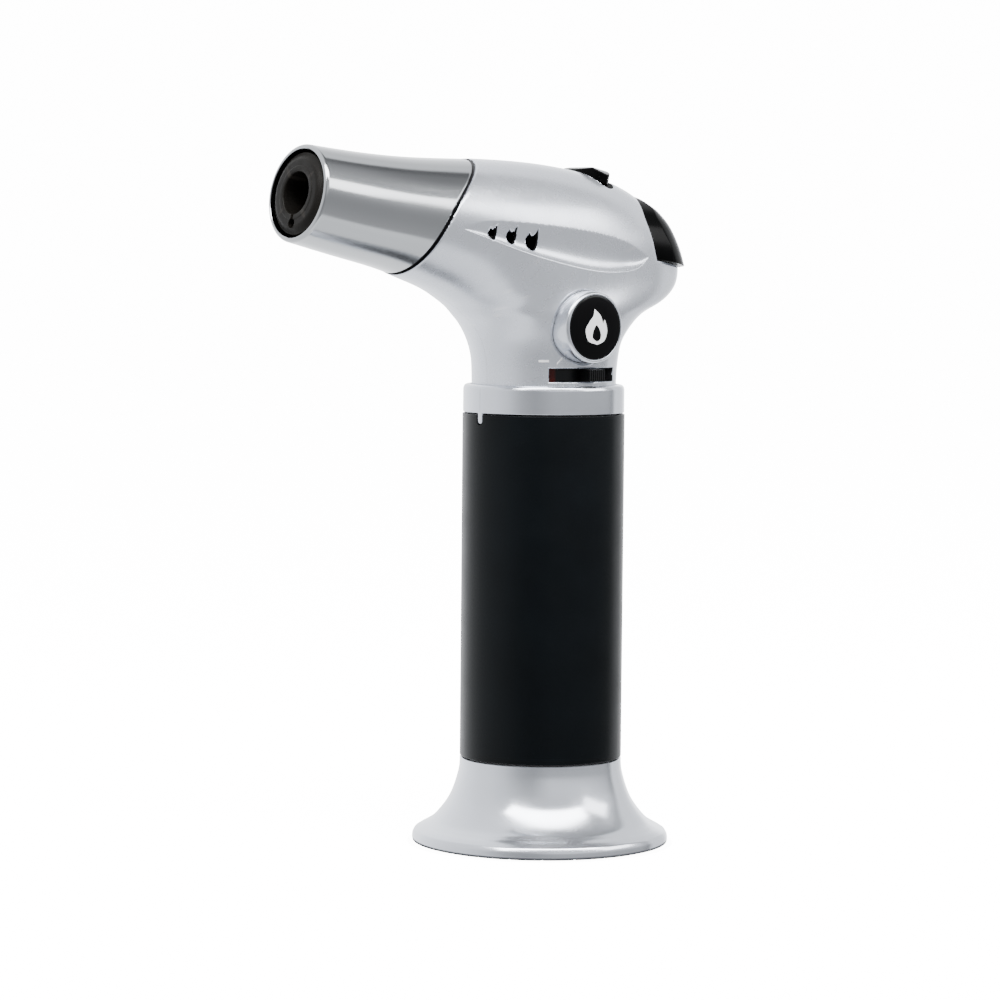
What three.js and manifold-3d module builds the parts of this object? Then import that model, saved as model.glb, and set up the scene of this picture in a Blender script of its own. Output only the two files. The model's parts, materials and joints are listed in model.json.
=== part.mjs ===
// Hand-held butane torch: a fuel tank grip on a flared foot, with a pistol-shaped head.
// Millimetres, +Z up, the nozzle points along -X and the round lock button faces -Y.
import * as THREE from "three";
import { mergeVertices } from "three/addons/utils/BufferGeometryUtils.js";
import Module from "manifold-3d";

const wasm = await Module();
wasm.setup();

// ---- driving dimensions ----
const GAP = 0.3; // clearance between neighbouring pieces

// grip and foot, turned about the tank axis
const SLEEVE_RADIUS = 20.65;
const SLEEVE_WALL = 1.4;
const SLEEVE_BOTTOM = 22.2;
const SLEEVE_TOP = 109.6;
const TANK_RADIUS = 18.8;
const TANK_WALL = 1.6;
const TANK_BOTTOM = 13.6;
const TANK_TOP = 105.9;
const CAP_TOP = 109.6;
const COLLAR_RADIUS = 20.5;
const COLLAR_BOTTOM = 109.9;
const COLLAR_TOP = 117.1;
const KEY_WIDTH = 1.9;
const KEY_DROP = 2.6;
const FOOT_TOP = 21.9;
const FOOT_RADIUS = 32.7;
const FOOT_BOTTOM = 0.25;
const PAD_INNER = 28.8;
const PAD_OUTER = 31.6;
const PAD_HEIGHT = 2.2;

// head housing
const WALL = 2.0;
const SPLIT_GAP = 0.3; // between the two housing halves

// leaf-shaped scallop on each side of the head
const LEAF_FRONT = -38;
const LEAF_FRONT_Z = 156;
const LEAF_BACK = 21.5;
const LEAF_BACK_Z = 149.8;
const LEAF_DEPTH = 1.2;

// barrel: its axis rises towards the tip
const BARREL_PITCH = THREE.MathUtils.degToRad(10);
const TIP = new THREE.Vector3(-76.7, 0, 164.0);
const TIP_RADIUS = 12.15;
const GUARD_INSET = 0.15;
const GUARD_WALL = 1.1;
const BORE_RADIUS = 5.2;
const INSERT_RADIUS = 10.3;
const INSERT_SET_BACK = 0.4;

// controls
const TRIGGER_HALF_WIDTH = 13.2;
const TRIGGER_HEIGHT = 16.4;
const TRIGGER_BELOW = 7.4; // from the plunger axis down to the trigger's lower edge
const PUSH_PITCH = THREE.MathUtils.degToRad(7); // the trigger slides along this rise
const PUSH_ORIGIN = new THREE.Vector3(30, 0, 155.7); // where the trigger meets the plunger
const SLOT_Z = 119.8;
const SLOT_HEIGHT = 3.4;
const SLOT_FROM = -35; // degrees round the neck from -Y towards +X
const SLOT_TO = 32;
const LEVER_REACH = 21.4;
const BUTTON_X = -1.9;
const BUTTON_Z = 131.8;
const BUTTON_RADIUS = 9.0;
const BUTTON_FACE = -22.2;
const BADGE_RADIUS = 8.0;
const SLIDER_X = 13.8;
const SLIDER_HALF_LENGTH = 5.0;
const SLIDER_HALF_WIDTH = 9.2;
const SLIDER_TRAVEL = 1.5;

// ---- materials ----
const finish = (color, roughness, metalness) =>
  new THREE.MeshStandardMaterial({ color, roughness, metalness });
const silverPaint = () => finish(0xc4c6ca, 0.38, 0.6);
const chrome = () => finish(0xd0d2d4, 0.18, 1.0);
const steel = () => finish(0x9c9ea2, 0.35, 1.0);
const brass = () => finish(0xb89a4c, 0.35, 1.0);
const blackGrip = () => finish(0x17181a, 0.55, 0.0);
const blackGloss = () => finish(0x0b0b0d, 0.22, 0.0);
const blackRubber = () => finish(0x121212, 0.85, 0.0);
const darkMetal = () => finish(0x4a4542, 0.5, 0.7);
const tankPlastic = () => finish(0x8a8d90, 0.4, 0.0);
const whitePlastic = () => finish(0xe6e3da, 0.5, 0.0);
const ceramic = () => finish(0xf0ede6, 0.3, 0.0);
const redPlastic = () => finish(0x9c2218, 0.4, 0.0);

// ---- solids ----
// A closed geometry as a solid whose faces point outwards.
function solidOf(geometry) {
  const bare = new THREE.BufferGeometry();
  const flat = geometry.index ? geometry.toNonIndexed() : geometry;
  bare.setAttribute("position", flat.getAttribute("position").clone());
  const merged = mergeVertices(bare, 1e-4);
  const triVerts = new Uint32Array(merged.index.array);
  const vertProperties = new Float32Array(merged.attributes.position.array);
  const make = () => new wasm.Manifold(new wasm.Mesh({ numProp: 3, vertProperties, triVerts }));
  const solid = make();
  if (solid.volume() > 0) return solid;
  for (let i = 0; i < triVerts.length; i += 3) {
    [triVerts[i + 1], triVerts[i + 2]] = [triVerts[i + 2], triVerts[i + 1]];
  }
  return make();
}

function geometryOf(solid) {
  const mesh = solid.getMesh();
  const positions = new Float32Array(mesh.numVert * 3);
  for (let i = 0; i < mesh.numVert; i++) {
    const start = i * mesh.numProp;
    positions.set(mesh.vertProperties.subarray(start, start + 3), i * 3);
  }
  const geometry = new THREE.BufferGeometry();
  geometry.setAttribute("position", new THREE.BufferAttribute(positions, 3));
  geometry.setIndex(new THREE.BufferAttribute(new Uint32Array(mesh.triVerts), 1));
  return geometry;
}

const join = (...parts) => geometryOf(parts.map(solidOf).reduce((a, b) => a.add(b)));
const cut = (body, ...tools) =>
  geometryOf(tools.map(solidOf).reduce((a, b) => a.subtract(b), solidOf(body)));
const common = (a, b) => geometryOf(solidOf(a).intersect(solidOf(b)));

// Profile points are [radius, height]; the profile closes on itself or ends on the axis.
function turned(profile, segments = 24) {
  const onAxis = profile[0][0] === 0 && profile[profile.length - 1][0] === 0;
  const closed = onAxis ? profile : [...profile, profile[0]];
  const points = closed.map(([r, z]) => new THREE.Vector2(r, z));
  return geometryOf(solidOf(new THREE.LatheGeometry(points, segments).rotateX(Math.PI / 2)));
}

const ring = (inner, outer, bottom, top, segments = 24) =>
  turned([[inner, bottom], [outer, bottom], [outer, top], [inner, top]], segments);

const rod = (radius, bottom, top, segments = 16) =>
  turned([[0, bottom], [radius, bottom], [radius, top], [0, top]], segments);

function block(x0, x1, y0, y1, z0, z1) {
  const box = new THREE.BoxGeometry(x1 - x0, y1 - y0, z1 - z0);
  return box.translate((x0 + x1) / 2, (y0 + y1) / 2, (z0 + z1) / 2);
}

const polygon = (points) => new THREE.Shape(points.map(([x, y]) => new THREE.Vector2(x, y)));

const extruded = (shape, bottom, top, curveSegments = 12) =>
  new THREE.ExtrudeGeometry(shape, { depth: top - bottom, bevelEnabled: false, curveSegments })
    .translate(0, 0, bottom);

// A shape drawn in X and Z, standing from y0 to y1.
const sidePlate = (shape, y0, y1, curveSegments) =>
  extruded(shape, 0, y1 - y0, curveSegments).rotateX(Math.PI / 2).translate(0, y1, 0);

function tubeAlong(curve, radius, steps, sides = 8) {
  const circle = [];
  for (let i = 0; i < sides; i++) {
    const a = (i / sides) * 2 * Math.PI;
    circle.push([radius * Math.cos(a), radius * Math.sin(a)]);
  }
  return new THREE.ExtrudeGeometry(polygon(circle), { steps, extrudePath: curve, bevelEnabled: false });
}

class Helix extends THREE.Curve {
  constructor(radius, bottom, top, turns) {
    super();
    Object.assign(this, { radius, bottom, top, turns });
  }
  getPoint(t, target = new THREE.Vector3()) {
    const a = t * this.turns * 2 * Math.PI;
    const z = this.bottom + t * (this.top - this.bottom);
    return target.set(this.radius * Math.cos(a), this.radius * Math.sin(a), z);
  }
}

const coilSpring = (radius, wire, bottom, top, turns) =>
  tubeAlong(new Helix(radius, bottom + wire, top - wire, turns), wire, Math.round(turns * 9), 5);

const onAxisY = (geometry) => geometry.rotateX(-Math.PI / 2); // turns local +Z to +Y

// ---- scene graph ----
const torch = new THREE.Group();
const barrel = new THREE.Group(); // local +Z runs out of the nozzle, local +X is up
barrel.position.copy(TIP);
barrel.rotation.y = -(Math.PI / 2 - BARREL_PITCH);
torch.add(barrel);

function add(name, geometry, material, parent = torch) {
  const mesh = new THREE.Mesh(geometry, material);
  mesh.name = name;
  parent.add(mesh);
  return mesh;
}

// A closed solid skinned over rings of points that all have the same count.
function skinned(rings) {
  const count = rings[0].length;
  const last = rings.length - 1;
  const middle = (points) =>
    points.reduce((sum, p) => sum.add(p), new THREE.Vector3()).divideScalar(count);
  const points = [...rings.flat(), middle(rings[0]), middle(rings[last])];
  const start = rings.length * count;
  const triangles = [];
  for (let s = 0; s < count; s++) {
    const n = (s + 1) % count;
    for (let r = 0; r < last; r++) {
      const a = r * count;
      const b = a + count;
      triangles.push(a + s, a + n, b + n, a + s, b + n, b + s);
    }
    triangles.push(start, n, s, start + 1, last * count + s, last * count + n);
  }
  return new THREE.BufferGeometry().setFromPoints(points).setIndex(triangles);
}

// ---- head surface ----
// Each station is one cross-section of the head: the point on its front (concave) side, the point
// on its back, its half width, and how far from front to back it is widest. They climb the neck,
// fan round over the trigger and run out along the barrel.
const BARREL_UP = [Math.sin(BARREL_PITCH), Math.cos(BARREL_PITCH)];
const BARREL_OUT = [-Math.cos(BARREL_PITCH), Math.sin(BARREL_PITCH)];
function barrelStation(behindTip, radius) {
  const cx = TIP.x - behindTip * BARREL_OUT[0];
  const cz = TIP.z - behindTip * BARREL_OUT[1];
  return [
    cx - radius * BARREL_UP[0],
    cz - radius * BARREL_UP[1],
    cx + radius * BARREL_UP[0],
    cz + radius * BARREL_UP[1],
    radius,
    0.5,
  ];
}
const HEAD_STATIONS = [
  [-18.3, 110.4, 18.4, 110.4, 18.35, 0.5],
  [-18.3, 115.5, 18.4, 115.5, 18.35, 0.49],
  [-18.3, 120, 18.5, 120, 18.4, 0.48],
  [-18.6, 124, 19.2, 123.9, 18.4, 0.48],
  [-19.8, 127.6, 20.1, 127.9, 18.7, 0.47],
  [-21.4, 130.4, 23.1, 131.4, 19.2, 0.45],
  [-23.5, 132.7, 27.9, 135.8, 19.6, 0.44],
  [-25.9, 134.5, 35.2, 137.7, 19.4, 0.41],
  [-27.7, 136, 41.2, 142.1, 18.7, 0.37],
  [-29.6, 137.2, 42.0, 146.5, 18.3, 0.35],
  [-31.5, 138.2, 42.0, 151.3, 18.3, 0.35],
  [-33.6, 139.3, 38.9, 157.4, 18.4, 0.37],
  [-35.9, 140.4, 32.8, 161.4, 18.4, 0.4],
  [-38.5, 141.4, 24.5, 167.0, 18.3, 0.43],
  [-41.2, 142.3, 11.0, 170.9, 17.9, 0.46],
  [-44.3, 143.3, -6.0, 173.1, 17.1, 0.48],
  [-48.3, 144.7, -25.0, 173.6, 16.0, 0.5],
  [-54.8, 146.5, -43.0, 173.3, 14.6, 0.5],
  barrelStation(15, 13.1),
  barrelStation(0, TIP_RADIUS),
  barrelStation(-15, 11.2),
];
const TIP_STATION = 19;

// Uniform cubic B-spline through the stations, straight beyond both ends.
function station(u) {
  const last = HEAD_STATIONS.length - 1;
  const at = (i) => {
    if (i < 0) return HEAD_STATIONS[0].map((v, k) => 2 * v - HEAD_STATIONS[1][k]);
    if (i > last) return HEAD_STATIONS[last].map((v, k) => 2 * v - HEAD_STATIONS[last - 1][k]);
    return HEAD_STATIONS[i];
  };
  const i = Math.min(Math.floor(u), last - 1);
  const t = u - i;
  const weights = [
    (1 - t) ** 3 / 6,
    (3 * t ** 3 - 6 * t ** 2 + 4) / 6,
    (-3 * t ** 3 + 3 * t ** 2 + 3 * t + 1) / 6,
    t ** 3 / 6,
  ];
  return HEAD_STATIONS[0].map((_, k) => weights.reduce((sum, w, j) => sum + w * at(i - 1 + j)[k], 0));
}

// Depth of the leaf-shaped scallop pressed into each side of the head.
function scallopDepth(x, z) {
  const along = (x - LEAF_FRONT) / (LEAF_BACK - LEAF_FRONT);
  if (along <= 0 || along >= 1) return 0;
  const chord = LEAF_FRONT_Z + (LEAF_BACK_Z - LEAF_FRONT_Z) * along;
  const upper = chord + 3.6 * Math.sin(Math.PI * along) ** 0.6;
  const lower = chord - 5.9 * Math.sin(Math.PI * along ** 1.35) ** 0.65;
  const across = (z - lower) / (upper - lower);
  if (across <= 0 || across >= 1) return 0;
  const fade = Math.min(1, (upper - lower) / 6);
  return LEAF_DEPTH * fade * Math.sin(Math.PI * across ** 0.7);
}

// The head's solid between two stations, drawn in by inset on every side.
function headSolid(inset, from, to, ringCount, segments) {
  const rings = [];
  for (let r = 0; r <= ringCount; r++) {
    const [fx, fz, bx, bz, half, widest] = station(from + ((to - from) * r) / ringCount);
    const length = Math.hypot(bx - fx, bz - fz);
    const middle = widest * length;
    const points = [];
    for (let s = 0; s < segments; s++) {
      const a = (s / segments) * 2 * Math.PI;
      const reach = Math.cos(a) > 0 ? length - middle - inset : middle - inset;
      const along = (middle + reach * Math.cos(a)) / length;
      const x = fx + along * (bx - fx);
      const z = fz + along * (bz - fz);
      const y = (half - inset) * Math.sin(a);
      const flank = Math.abs(y) > half / 2;
      points.push(new THREE.Vector3(x, flank ? y - Math.sign(y) * scallopDepth(x, z) : y, z));
    }
    rings.push(points);
  }
  return skinned(rings);
}

// Where the guard meets the housing, seen from the side, from the top down.
const PARTING = [
  [-21.5, 177],
  [-29, 171.4],
  [-37.2, 164.1],
  [-42.2, 157],
  [-46.8, 147.1],
  [-49.6, 140],
];

// Everything in front of that line, with the line moved back by shift.
function aheadOfParting(shift) {
  const line = new THREE.SplineCurve(PARTING.map(([x, z]) => new THREE.Vector2(x + shift, z)));
  const edge = line.getPoints(18).map((p) => [p.x, p.y]);
  return sidePlate(polygon([...edge, [-110, 140], [-110, 190], [PARTING[0][0] + shift, 190]]), -30, 30);
}

// ---- grip, tank and foot ----
function buildGrip() {
  const footProfile = [
    [19.1, FOOT_TOP],
    [SLEEVE_RADIUS, FOOT_TOP],
    [20.85, 18.7],
    [21.5, 16.2],
    [22.35, 13.6],
    [23.5, 11.1],
    [25.2, 8.6],
    [27.4, 6.1],
    [29.35, 4.8],
    [30.9, 3.95],
    [32.1, 3.1],
    [FOOT_RADIUS, 1.9],
    [FOOT_RADIUS, 0.9],
    [FOOT_RADIUS - 0.2, FOOT_BOTTOM],
    [PAD_OUTER + GAP, FOOT_BOTTOM],
    [PAD_OUTER + GAP, PAD_HEIGHT + GAP],
    [PAD_INNER - GAP, PAD_HEIGHT + GAP],
    [PAD_INNER - GAP, FOOT_BOTTOM],
    [27.4, FOOT_BOTTOM],
    [27.0, 4.2],
    [23.5, 7.0],
    [20.6, 9.8],
    [8.0, 9.8],
    [8.0, 13.3],
    [19.1, 13.3],
  ];
  add("base_foot", turned(footProfile, 30), silverPaint());
  add("foot_pad_ring", ring(PAD_INNER, PAD_OUTER, 0, PAD_HEIGHT, 32), blackRubber());

  const bore = 3.5;
  const tankProfile = [
    [bore, TANK_BOTTOM],
    [TANK_RADIUS, TANK_BOTTOM],
    [TANK_RADIUS, TANK_TOP],
    [TANK_RADIUS - TANK_WALL, TANK_TOP],
    [TANK_RADIUS - TANK_WALL, TANK_BOTTOM + 3],
    [bore, TANK_BOTTOM + 3],
  ];
  add("fuel_tank", turned(tankProfile, 28), tankPlastic());
  const spigot = TANK_RADIUS - TANK_WALL - GAP;
  const capProfile = [
    [4.7, TANK_TOP - 4],
    [spigot, TANK_TOP - 4],
    [spigot, TANK_TOP + GAP],
    [TANK_RADIUS, TANK_TOP + GAP],
    [TANK_RADIUS, CAP_TOP],
    [4.7, CAP_TOP],
  ];
  add("tank_cap", turned(capProfile, 28), tankPlastic());

  const sleeve = ring(SLEEVE_RADIUS - SLEEVE_WALL, SLEEVE_RADIUS, SLEEVE_BOTTOM, SLEEVE_TOP, 36);
  const notchHalf = KEY_WIDTH / 2 + GAP;
  const notch = block(-23, -17, -notchHalf, notchHalf, SLEEVE_TOP - KEY_DROP - 0.2, SLEEVE_TOP + 1);
  add("tank_sleeve", cut(sleeve, notch), blackGrip());

  const collarProfile = [
    [18.75, COLLAR_BOTTOM],
    [COLLAR_RADIUS, COLLAR_BOTTOM],
    [COLLAR_RADIUS, COLLAR_TOP - 1.2],
    [COLLAR_RADIUS - 0.35, COLLAR_TOP - 0.35],
    [COLLAR_RADIUS - 1.2, COLLAR_TOP],
    [18.75, COLLAR_TOP],
  ];
  const keyEnd = COLLAR_BOTTOM - KEY_DROP + GAP;
  const key = block(-20.45, -19.5, -KEY_WIDTH / 2, KEY_WIDTH / 2, keyEnd, COLLAR_BOTTOM + 1);
  const collar = join(turned(collarProfile, 36), key);
  const neckRoom = rod(18.75, COLLAR_BOTTOM - 4, COLLAR_TOP + 1, 36);
  add("collar_ring", cut(collar, neckRoom), silverPaint());
}

// ---- refill valve under the tank ----
function buildRefillValve() {
  const body = [
    [1.25, 9.6],
    [2.9, 9.6],
    [2.9, 11.2],
    [5.2, 11.2],
    [5.2, 12.5],
    [3.2, 12.5],
    [3.2, 21],
    [1.25, 21],
    [1.25, 19.6],
    [2.1, 19.6],
    [2.1, 10.9],
    [1.25, 10.9],
  ];
  add("refill_valve_body", turned(body, 18), brass());
  const stem = [
    [0, 8.9],
    [0.95, 8.9],
    [0.95, 11.2],
    [1.8, 11.2],
    [1.8, 12.2],
    [0.95, 12.2],
    [0.95, 20.4],
    [0, 20.4],
  ];
  add("refill_valve_stem", turned(stem, 14), whitePlastic());
  add("refill_valve_spring", coilSpring(1.5, 0.25, 12.5, 19.3, 4), steel());
  add("refill_valve_seal", ring(3.5, 5.0, 12.65, 13.35, 20), blackRubber());
}

// ---- outlet valve and flame adjuster on the tank cap ----
function buildOutletValve() {
  const body = [
    [3.2, 98],
    [4.4, 98],
    [4.4, 111.5],
    [6.2, 111.5],
    [6.2, 112.6],
    [4.4, 112.6],
    [4.4, 117.4],
    [1.8, 117.4],
    [1.8, 115.2],
    [3.2, 115.2],
  ];
  add("outlet_valve_body", turned(body, 18), brass());
  const stem = [
    [0, 104],
    [2.9, 104],
    [2.9, 105.4],
    [1.4, 105.4],
    [1.4, 123.9],
    [2.8, 123.9],
    [2.8, 124.9],
    [1.1, 124.9],
    [1.1, 126],
    [0, 126],
  ];
  add("outlet_valve_stem", turned(stem, 16), brass());
  add("outlet_valve_spring", coilSpring(2.25, 0.35, 105.8, 114.8, 4), steel());
  add("outlet_valve_seal", ring(4.7, 6.4, 109.9, 111.2, 20), blackRubber());
  add("dip_wick", rod(1.6, 24, 97.6, 12), whitePlastic());
  add("flow_regulator", ring(4.7, 5.9, 113, 118.2, 20), brass());
}

const polar = (radius, degrees) => {
  const a = THREE.MathUtils.degToRad(degrees);
  return [radius * Math.sin(a), -radius * Math.cos(a)];
};

// A flat sector between two radii, seen from above; degrees run from -Y towards +X.
function sector(inner, outer, from, to, z0, z1, steps = 10) {
  const points = [];
  for (let i = 0; i <= steps; i++) points.push(polar(outer, from + ((to - from) * i) / steps));
  for (let i = steps; i >= 0; i--) points.push(polar(inner, from + ((to - from) * i) / steps));
  return extruded(polygon(points), z0, z1);
}

function buildFlameAdjuster() {
  const low = SLOT_Z - 1.0;
  const high = SLOT_Z + 1.0;
  const hub = ring(6.2, 8.2, 114, high, 24);
  const fan = sector(8, 15.6, -20, 20, low, high, 6);
  const band = sector(15, 16.0, -58, 58, SLOT_Z - 2.1, SLOT_Z + 2.1, 18);
  const tab = sector(15.5, LEVER_REACH, -6.5, 6.5, SLOT_Z - 1.4, SLOT_Z + 1.4, 3);
  add("flame_adjust_lever", join(hub, fan, band, tab), blackGloss());
}

// ---- housing ----
// The trigger, plunger and igniter are drawn with +Z along the push and +X up.
const PUSH_FRAME = new THREE.Matrix4().makeRotationY(PUSH_PITCH - Math.PI / 2).setPosition(PUSH_ORIGIN);
const alongPush = (geometry) => geometry.applyMatrix4(PUSH_FRAME);

// The trigger's outline seen along its push, grown by clearance: x is up, y is sideways.
function triggerOutline(clearance, sides = 10) {
  const base = -TRIGGER_BELOW - clearance;
  const height = TRIGGER_HEIGHT + 2 * clearance;
  const half = TRIGGER_HALF_WIDTH + clearance;
  const arch = [];
  for (let i = 0; i <= sides; i++) {
    const a = (i / sides) * (Math.PI / 2);
    arch.push([base + height * Math.sin(a) ** 0.9, half * Math.cos(a)]);
  }
  const mirrored = arch.slice(0, -1).reverse().map(([x, y]) => [x, -y]);
  return polygon([...arch, ...mirrored]);
}

// A prism of the trigger's outline, from behind it to a distance ahead of the plunger's end.
const triggerPrism = (clearance, ahead) => alongPush(extruded(triggerOutline(clearance), -22, ahead));

// The safety slider is drawn flat about its own centre, then laid on the sloping top of the head.
const SLIDE_SLOPE = THREE.MathUtils.degToRad(12);
const onSlide = (geometry, z = 170.4) => geometry.rotateY(SLIDE_SLOPE).translate(SLIDER_X, 0, z);

const ovalPlate = (halfLength, halfWidth, bottom, top, sides = 16) => {
  const shape = new THREE.Shape();
  shape.absellipse(0, 0, halfLength, halfWidth, 0, 2 * Math.PI, false, 0);
  return extruded(shape, bottom, top, sides);
};

// A flame-shaped vent, cut right through the side wall.
function flameVent(x, z, height, side) {
  const w = height * 0.36;
  const shape = new THREE.Shape();
  shape.moveTo(x, z - height / 2);
  shape.quadraticCurveTo(x - w * 1.5, z - height * 0.3, x - w * 0.9, z + height * 0.12);
  shape.lineTo(x - w * 0.75, z + height * 0.3);
  shape.lineTo(x - w * 0.1, z + height * 0.16);
  shape.lineTo(x + w * 0.75, z + height / 2);
  shape.quadraticCurveTo(x + w * 1.5, z - height * 0.3, x, z - height / 2);
  const y0 = side < 0 ? -24 : 10;
  return sidePlate(shape, y0, y0 + 14, 4);
}

const VENTS = [[-29.9, 154.9, 3.6], [-24.3, 154.2, 4.2], [-18.2, 153.2, 5.2]];
const SCREWS = [[-31, 143.6], [-12, 166.4], [33, 143.4]]; // screw axes, in X and Z
const SCREW_HEAD_RADIUS = 2.4;
const SCREW_SEAT = 8.5; // where the head's underside bears, on the +Y half

function buildHousing() {
  const outer = headSolid(0, 0, 17.6, 28, 28);
  const inner = headSolid(WALL, -0.5, 18.5, 18, 18);
  const sliderPocket = onSlide(ovalPlate(SLIDER_HALF_LENGTH, SLIDER_HALF_WIDTH, -5, 5));
  let shell = cut(outer, aheadOfParting(0.25), inner, triggerPrism(GAP, 15), sliderPocket);
  shell = cut(shell, ...VENTS.flatMap(([x, z, h]) => [flameVent(x, z, h, -1), flameVent(x, z, h, 1)]));
  const slotHalf = SLOT_HEIGHT / 2;
  const adjustSlot = sector(14, 22, SLOT_FROM, SLOT_TO, SLOT_Z - slotHalf, SLOT_Z + slotHalf);
  const buttonHole = onAxisY(rod(BUTTON_RADIUS + GAP, -26, -8, 24)).translate(BUTTON_X, 0, BUTTON_Z);
  const leftSide = common(shell, block(-60, 60, -30, -SPLIT_GAP / 2, 100, 190));
  const rightSide = common(shell, block(-60, 60, SPLIT_GAP / 2, 30, 100, 190));

  // Screw posts: blind on the -Y half, through and counterbored on the +Y half.
  const body = cut(headSolid(0.8, 0, 17.4, 18, 18), aheadOfParting(0.8));
  let left = cut(leftSide, adjustSlot, buttonHole);
  let right = rightSide;
  for (const [x, z] of SCREWS) {
    const column = (y0, y1, radius) => onAxisY(rod(radius, y0, y1, 12)).translate(x, 0, z);
    left = join(left, common(column(-20, -SPLIT_GAP / 2, 2.9), body));
    left = cut(left, column(-7.5, 1, 1.4));
    right = join(right, common(column(SPLIT_GAP / 2, 20, 3.6), body));
    right = cut(right, column(-1, SCREW_SEAT + 1, 1.5), column(SCREW_SEAT, 22, SCREW_HEAD_RADIUS + GAP));
  }
  add("housing_left", left, silverPaint());
  add("housing_right", right, silverPaint());

  const underHead = SCREW_SEAT + GAP;
  const headTop = SCREW_SEAT + 1.9;
  const screwProfile = [
    [0, -6.5],
    [1.1, -6.5],
    [1.1, underHead],
    [SCREW_HEAD_RADIUS, underHead],
    [SCREW_HEAD_RADIUS, headTop],
    [0, headTop],
  ];
  const slotAcross = block(-1.3, 1.3, -0.3, 0.3, headTop - 0.9, headTop + 1);
  const slotDown = block(-0.3, 0.3, -1.3, 1.3, headTop - 0.9, headTop + 1);
  SCREWS.forEach(([x, z], i) => {
    const screw = cut(turned(screwProfile, 12), slotAcross, slotDown);
    add("housing_screw_" + (i + 1), onAxisY(screw).translate(x, 0, z), steel());
  });
}

// ---- flame guard and burner, in the barrel's own frame ----
function buildBarrel() {
  const outside = headSolid(GUARD_INSET, 14.4, TIP_STATION, 7, 28);
  const inside = headSolid(GUARD_INSET + GUARD_WALL, 14, TIP_STATION + 0.6, 6, 24);
  const guard = common(cut(outside, inside), aheadOfParting(-0.25));
  add("flame_guard", guard, chrome());

  const face = -INSERT_SET_BACK;
  const insertProfile = [
    [BORE_RADIUS, face - 13],
    [INSERT_RADIUS, face - 13],
    [INSERT_RADIUS, face - 0.5],
    [INSERT_RADIUS - 0.5, face],
    [BORE_RADIUS + 0.5, face],
    [BORE_RADIUS, face - 0.5],
  ];
  const notchRound = rod(1.25, face - 6, 1, 12).translate(-7.4, 0, 0);
  const notchNeck = block(-7.4, -4.5, -0.55, 0.55, face - 6, 1);
  add("nozzle_insert", cut(turned(insertProfile, 28), notchRound, notchNeck), darkMetal(), barrel);

  const holderProfile = [
    [5.6, -36],
    [12.2, -36],
    [12.2, -31],
    [9.8, -31],
    [9.8, -15.5],
    [8.6, -15.5],
    [8.6, -32.4],
    [5.6, -32.4],
  ];
  const leadHole = rod(1.8, -40, -14, 12).translate(-7.0, -1.5, 0);
  add("burner_holder", cut(turned(holderProfile, 28), leadHole), darkMetal(), barrel);

  const tube = ring(4.2, 5.0, -44, -7, 24);
  const airHole = (a) => rod(1.2, -8, 8, 10).rotateX(Math.PI / 2).rotateZ(a).translate(0, 0, -40);
  add("mixing_tube", cut(tube, airHole(0), airHole(Math.PI / 2)), steel(), barrel);

  const disc = rod(3.9, -13, -11, 20);
  const jets = [0, 1, 2, 3, 4, 5].map((i) => {
    const a = (i / 6) * 2 * Math.PI;
    return rod(0.55, -14, -10, 8).translate(2.5 * Math.cos(a), 2.5 * Math.sin(a), 0);
  });
  add("flame_holder", cut(disc, rod(0.8, -14, -10, 8), ...jets), brass(), barrel);

  const jetProfile = [
    [0.35, -54],
    [1.0, -54],
    [1.0, -48],
    [3.9, -48],
    [3.9, -42.5],
    [1.6, -42.5],
    [1.6, -41],
    [0.35, -41],
  ];
  add("gas_jet", turned(jetProfile, 16), brass(), barrel);

  const wireRoute = new THREE.CatmullRomCurve3([
    new THREE.Vector3(-7.0, -1.5, -39),
    new THREE.Vector3(-7.0, -1.5, -25),
    new THREE.Vector3(-7.0, -1.5, -17.5),
  ]);
  add("electrode", tubeAlong(wireRoute, 0.45, 8), steel(), barrel);
  add("electrode_insulator", ring(0.75, 1.5, -37.5, -22, 14).translate(-7.0, -1.5, 0), ceramic(), barrel);
}

// ---- controls ----
// A solid stacked from level circles, each [height, centre x, radius], drawn in by inset.
function stackedCircles(circles, inset, segments = 20) {
  const rings = circles.map(([z, x, r]) => {
    const points = [];
    for (let s = 0; s < segments; s++) {
      const a = (s / segments) * 2 * Math.PI;
      points.push(new THREE.Vector3(x + (r - inset) * Math.cos(a), (r - inset) * Math.sin(a), z));
    }
    return points;
  });
  return skinned(rings);
}

// The thumb face of the trigger is a round pad that tapers and leans forward as it rises.
const TRIGGER_PAD = [
  [144, 29.9, 13.2],
  [147, 29.0, 13.45],
  [152, 26.9, 13.6],
  [157, 26.1, 11.9],
  [160.2, 25.1, 10.2],
  [162.4, 23.4, 9.0],
  [166, 19, 6.4],
  [169, 14, 4],
];

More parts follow.
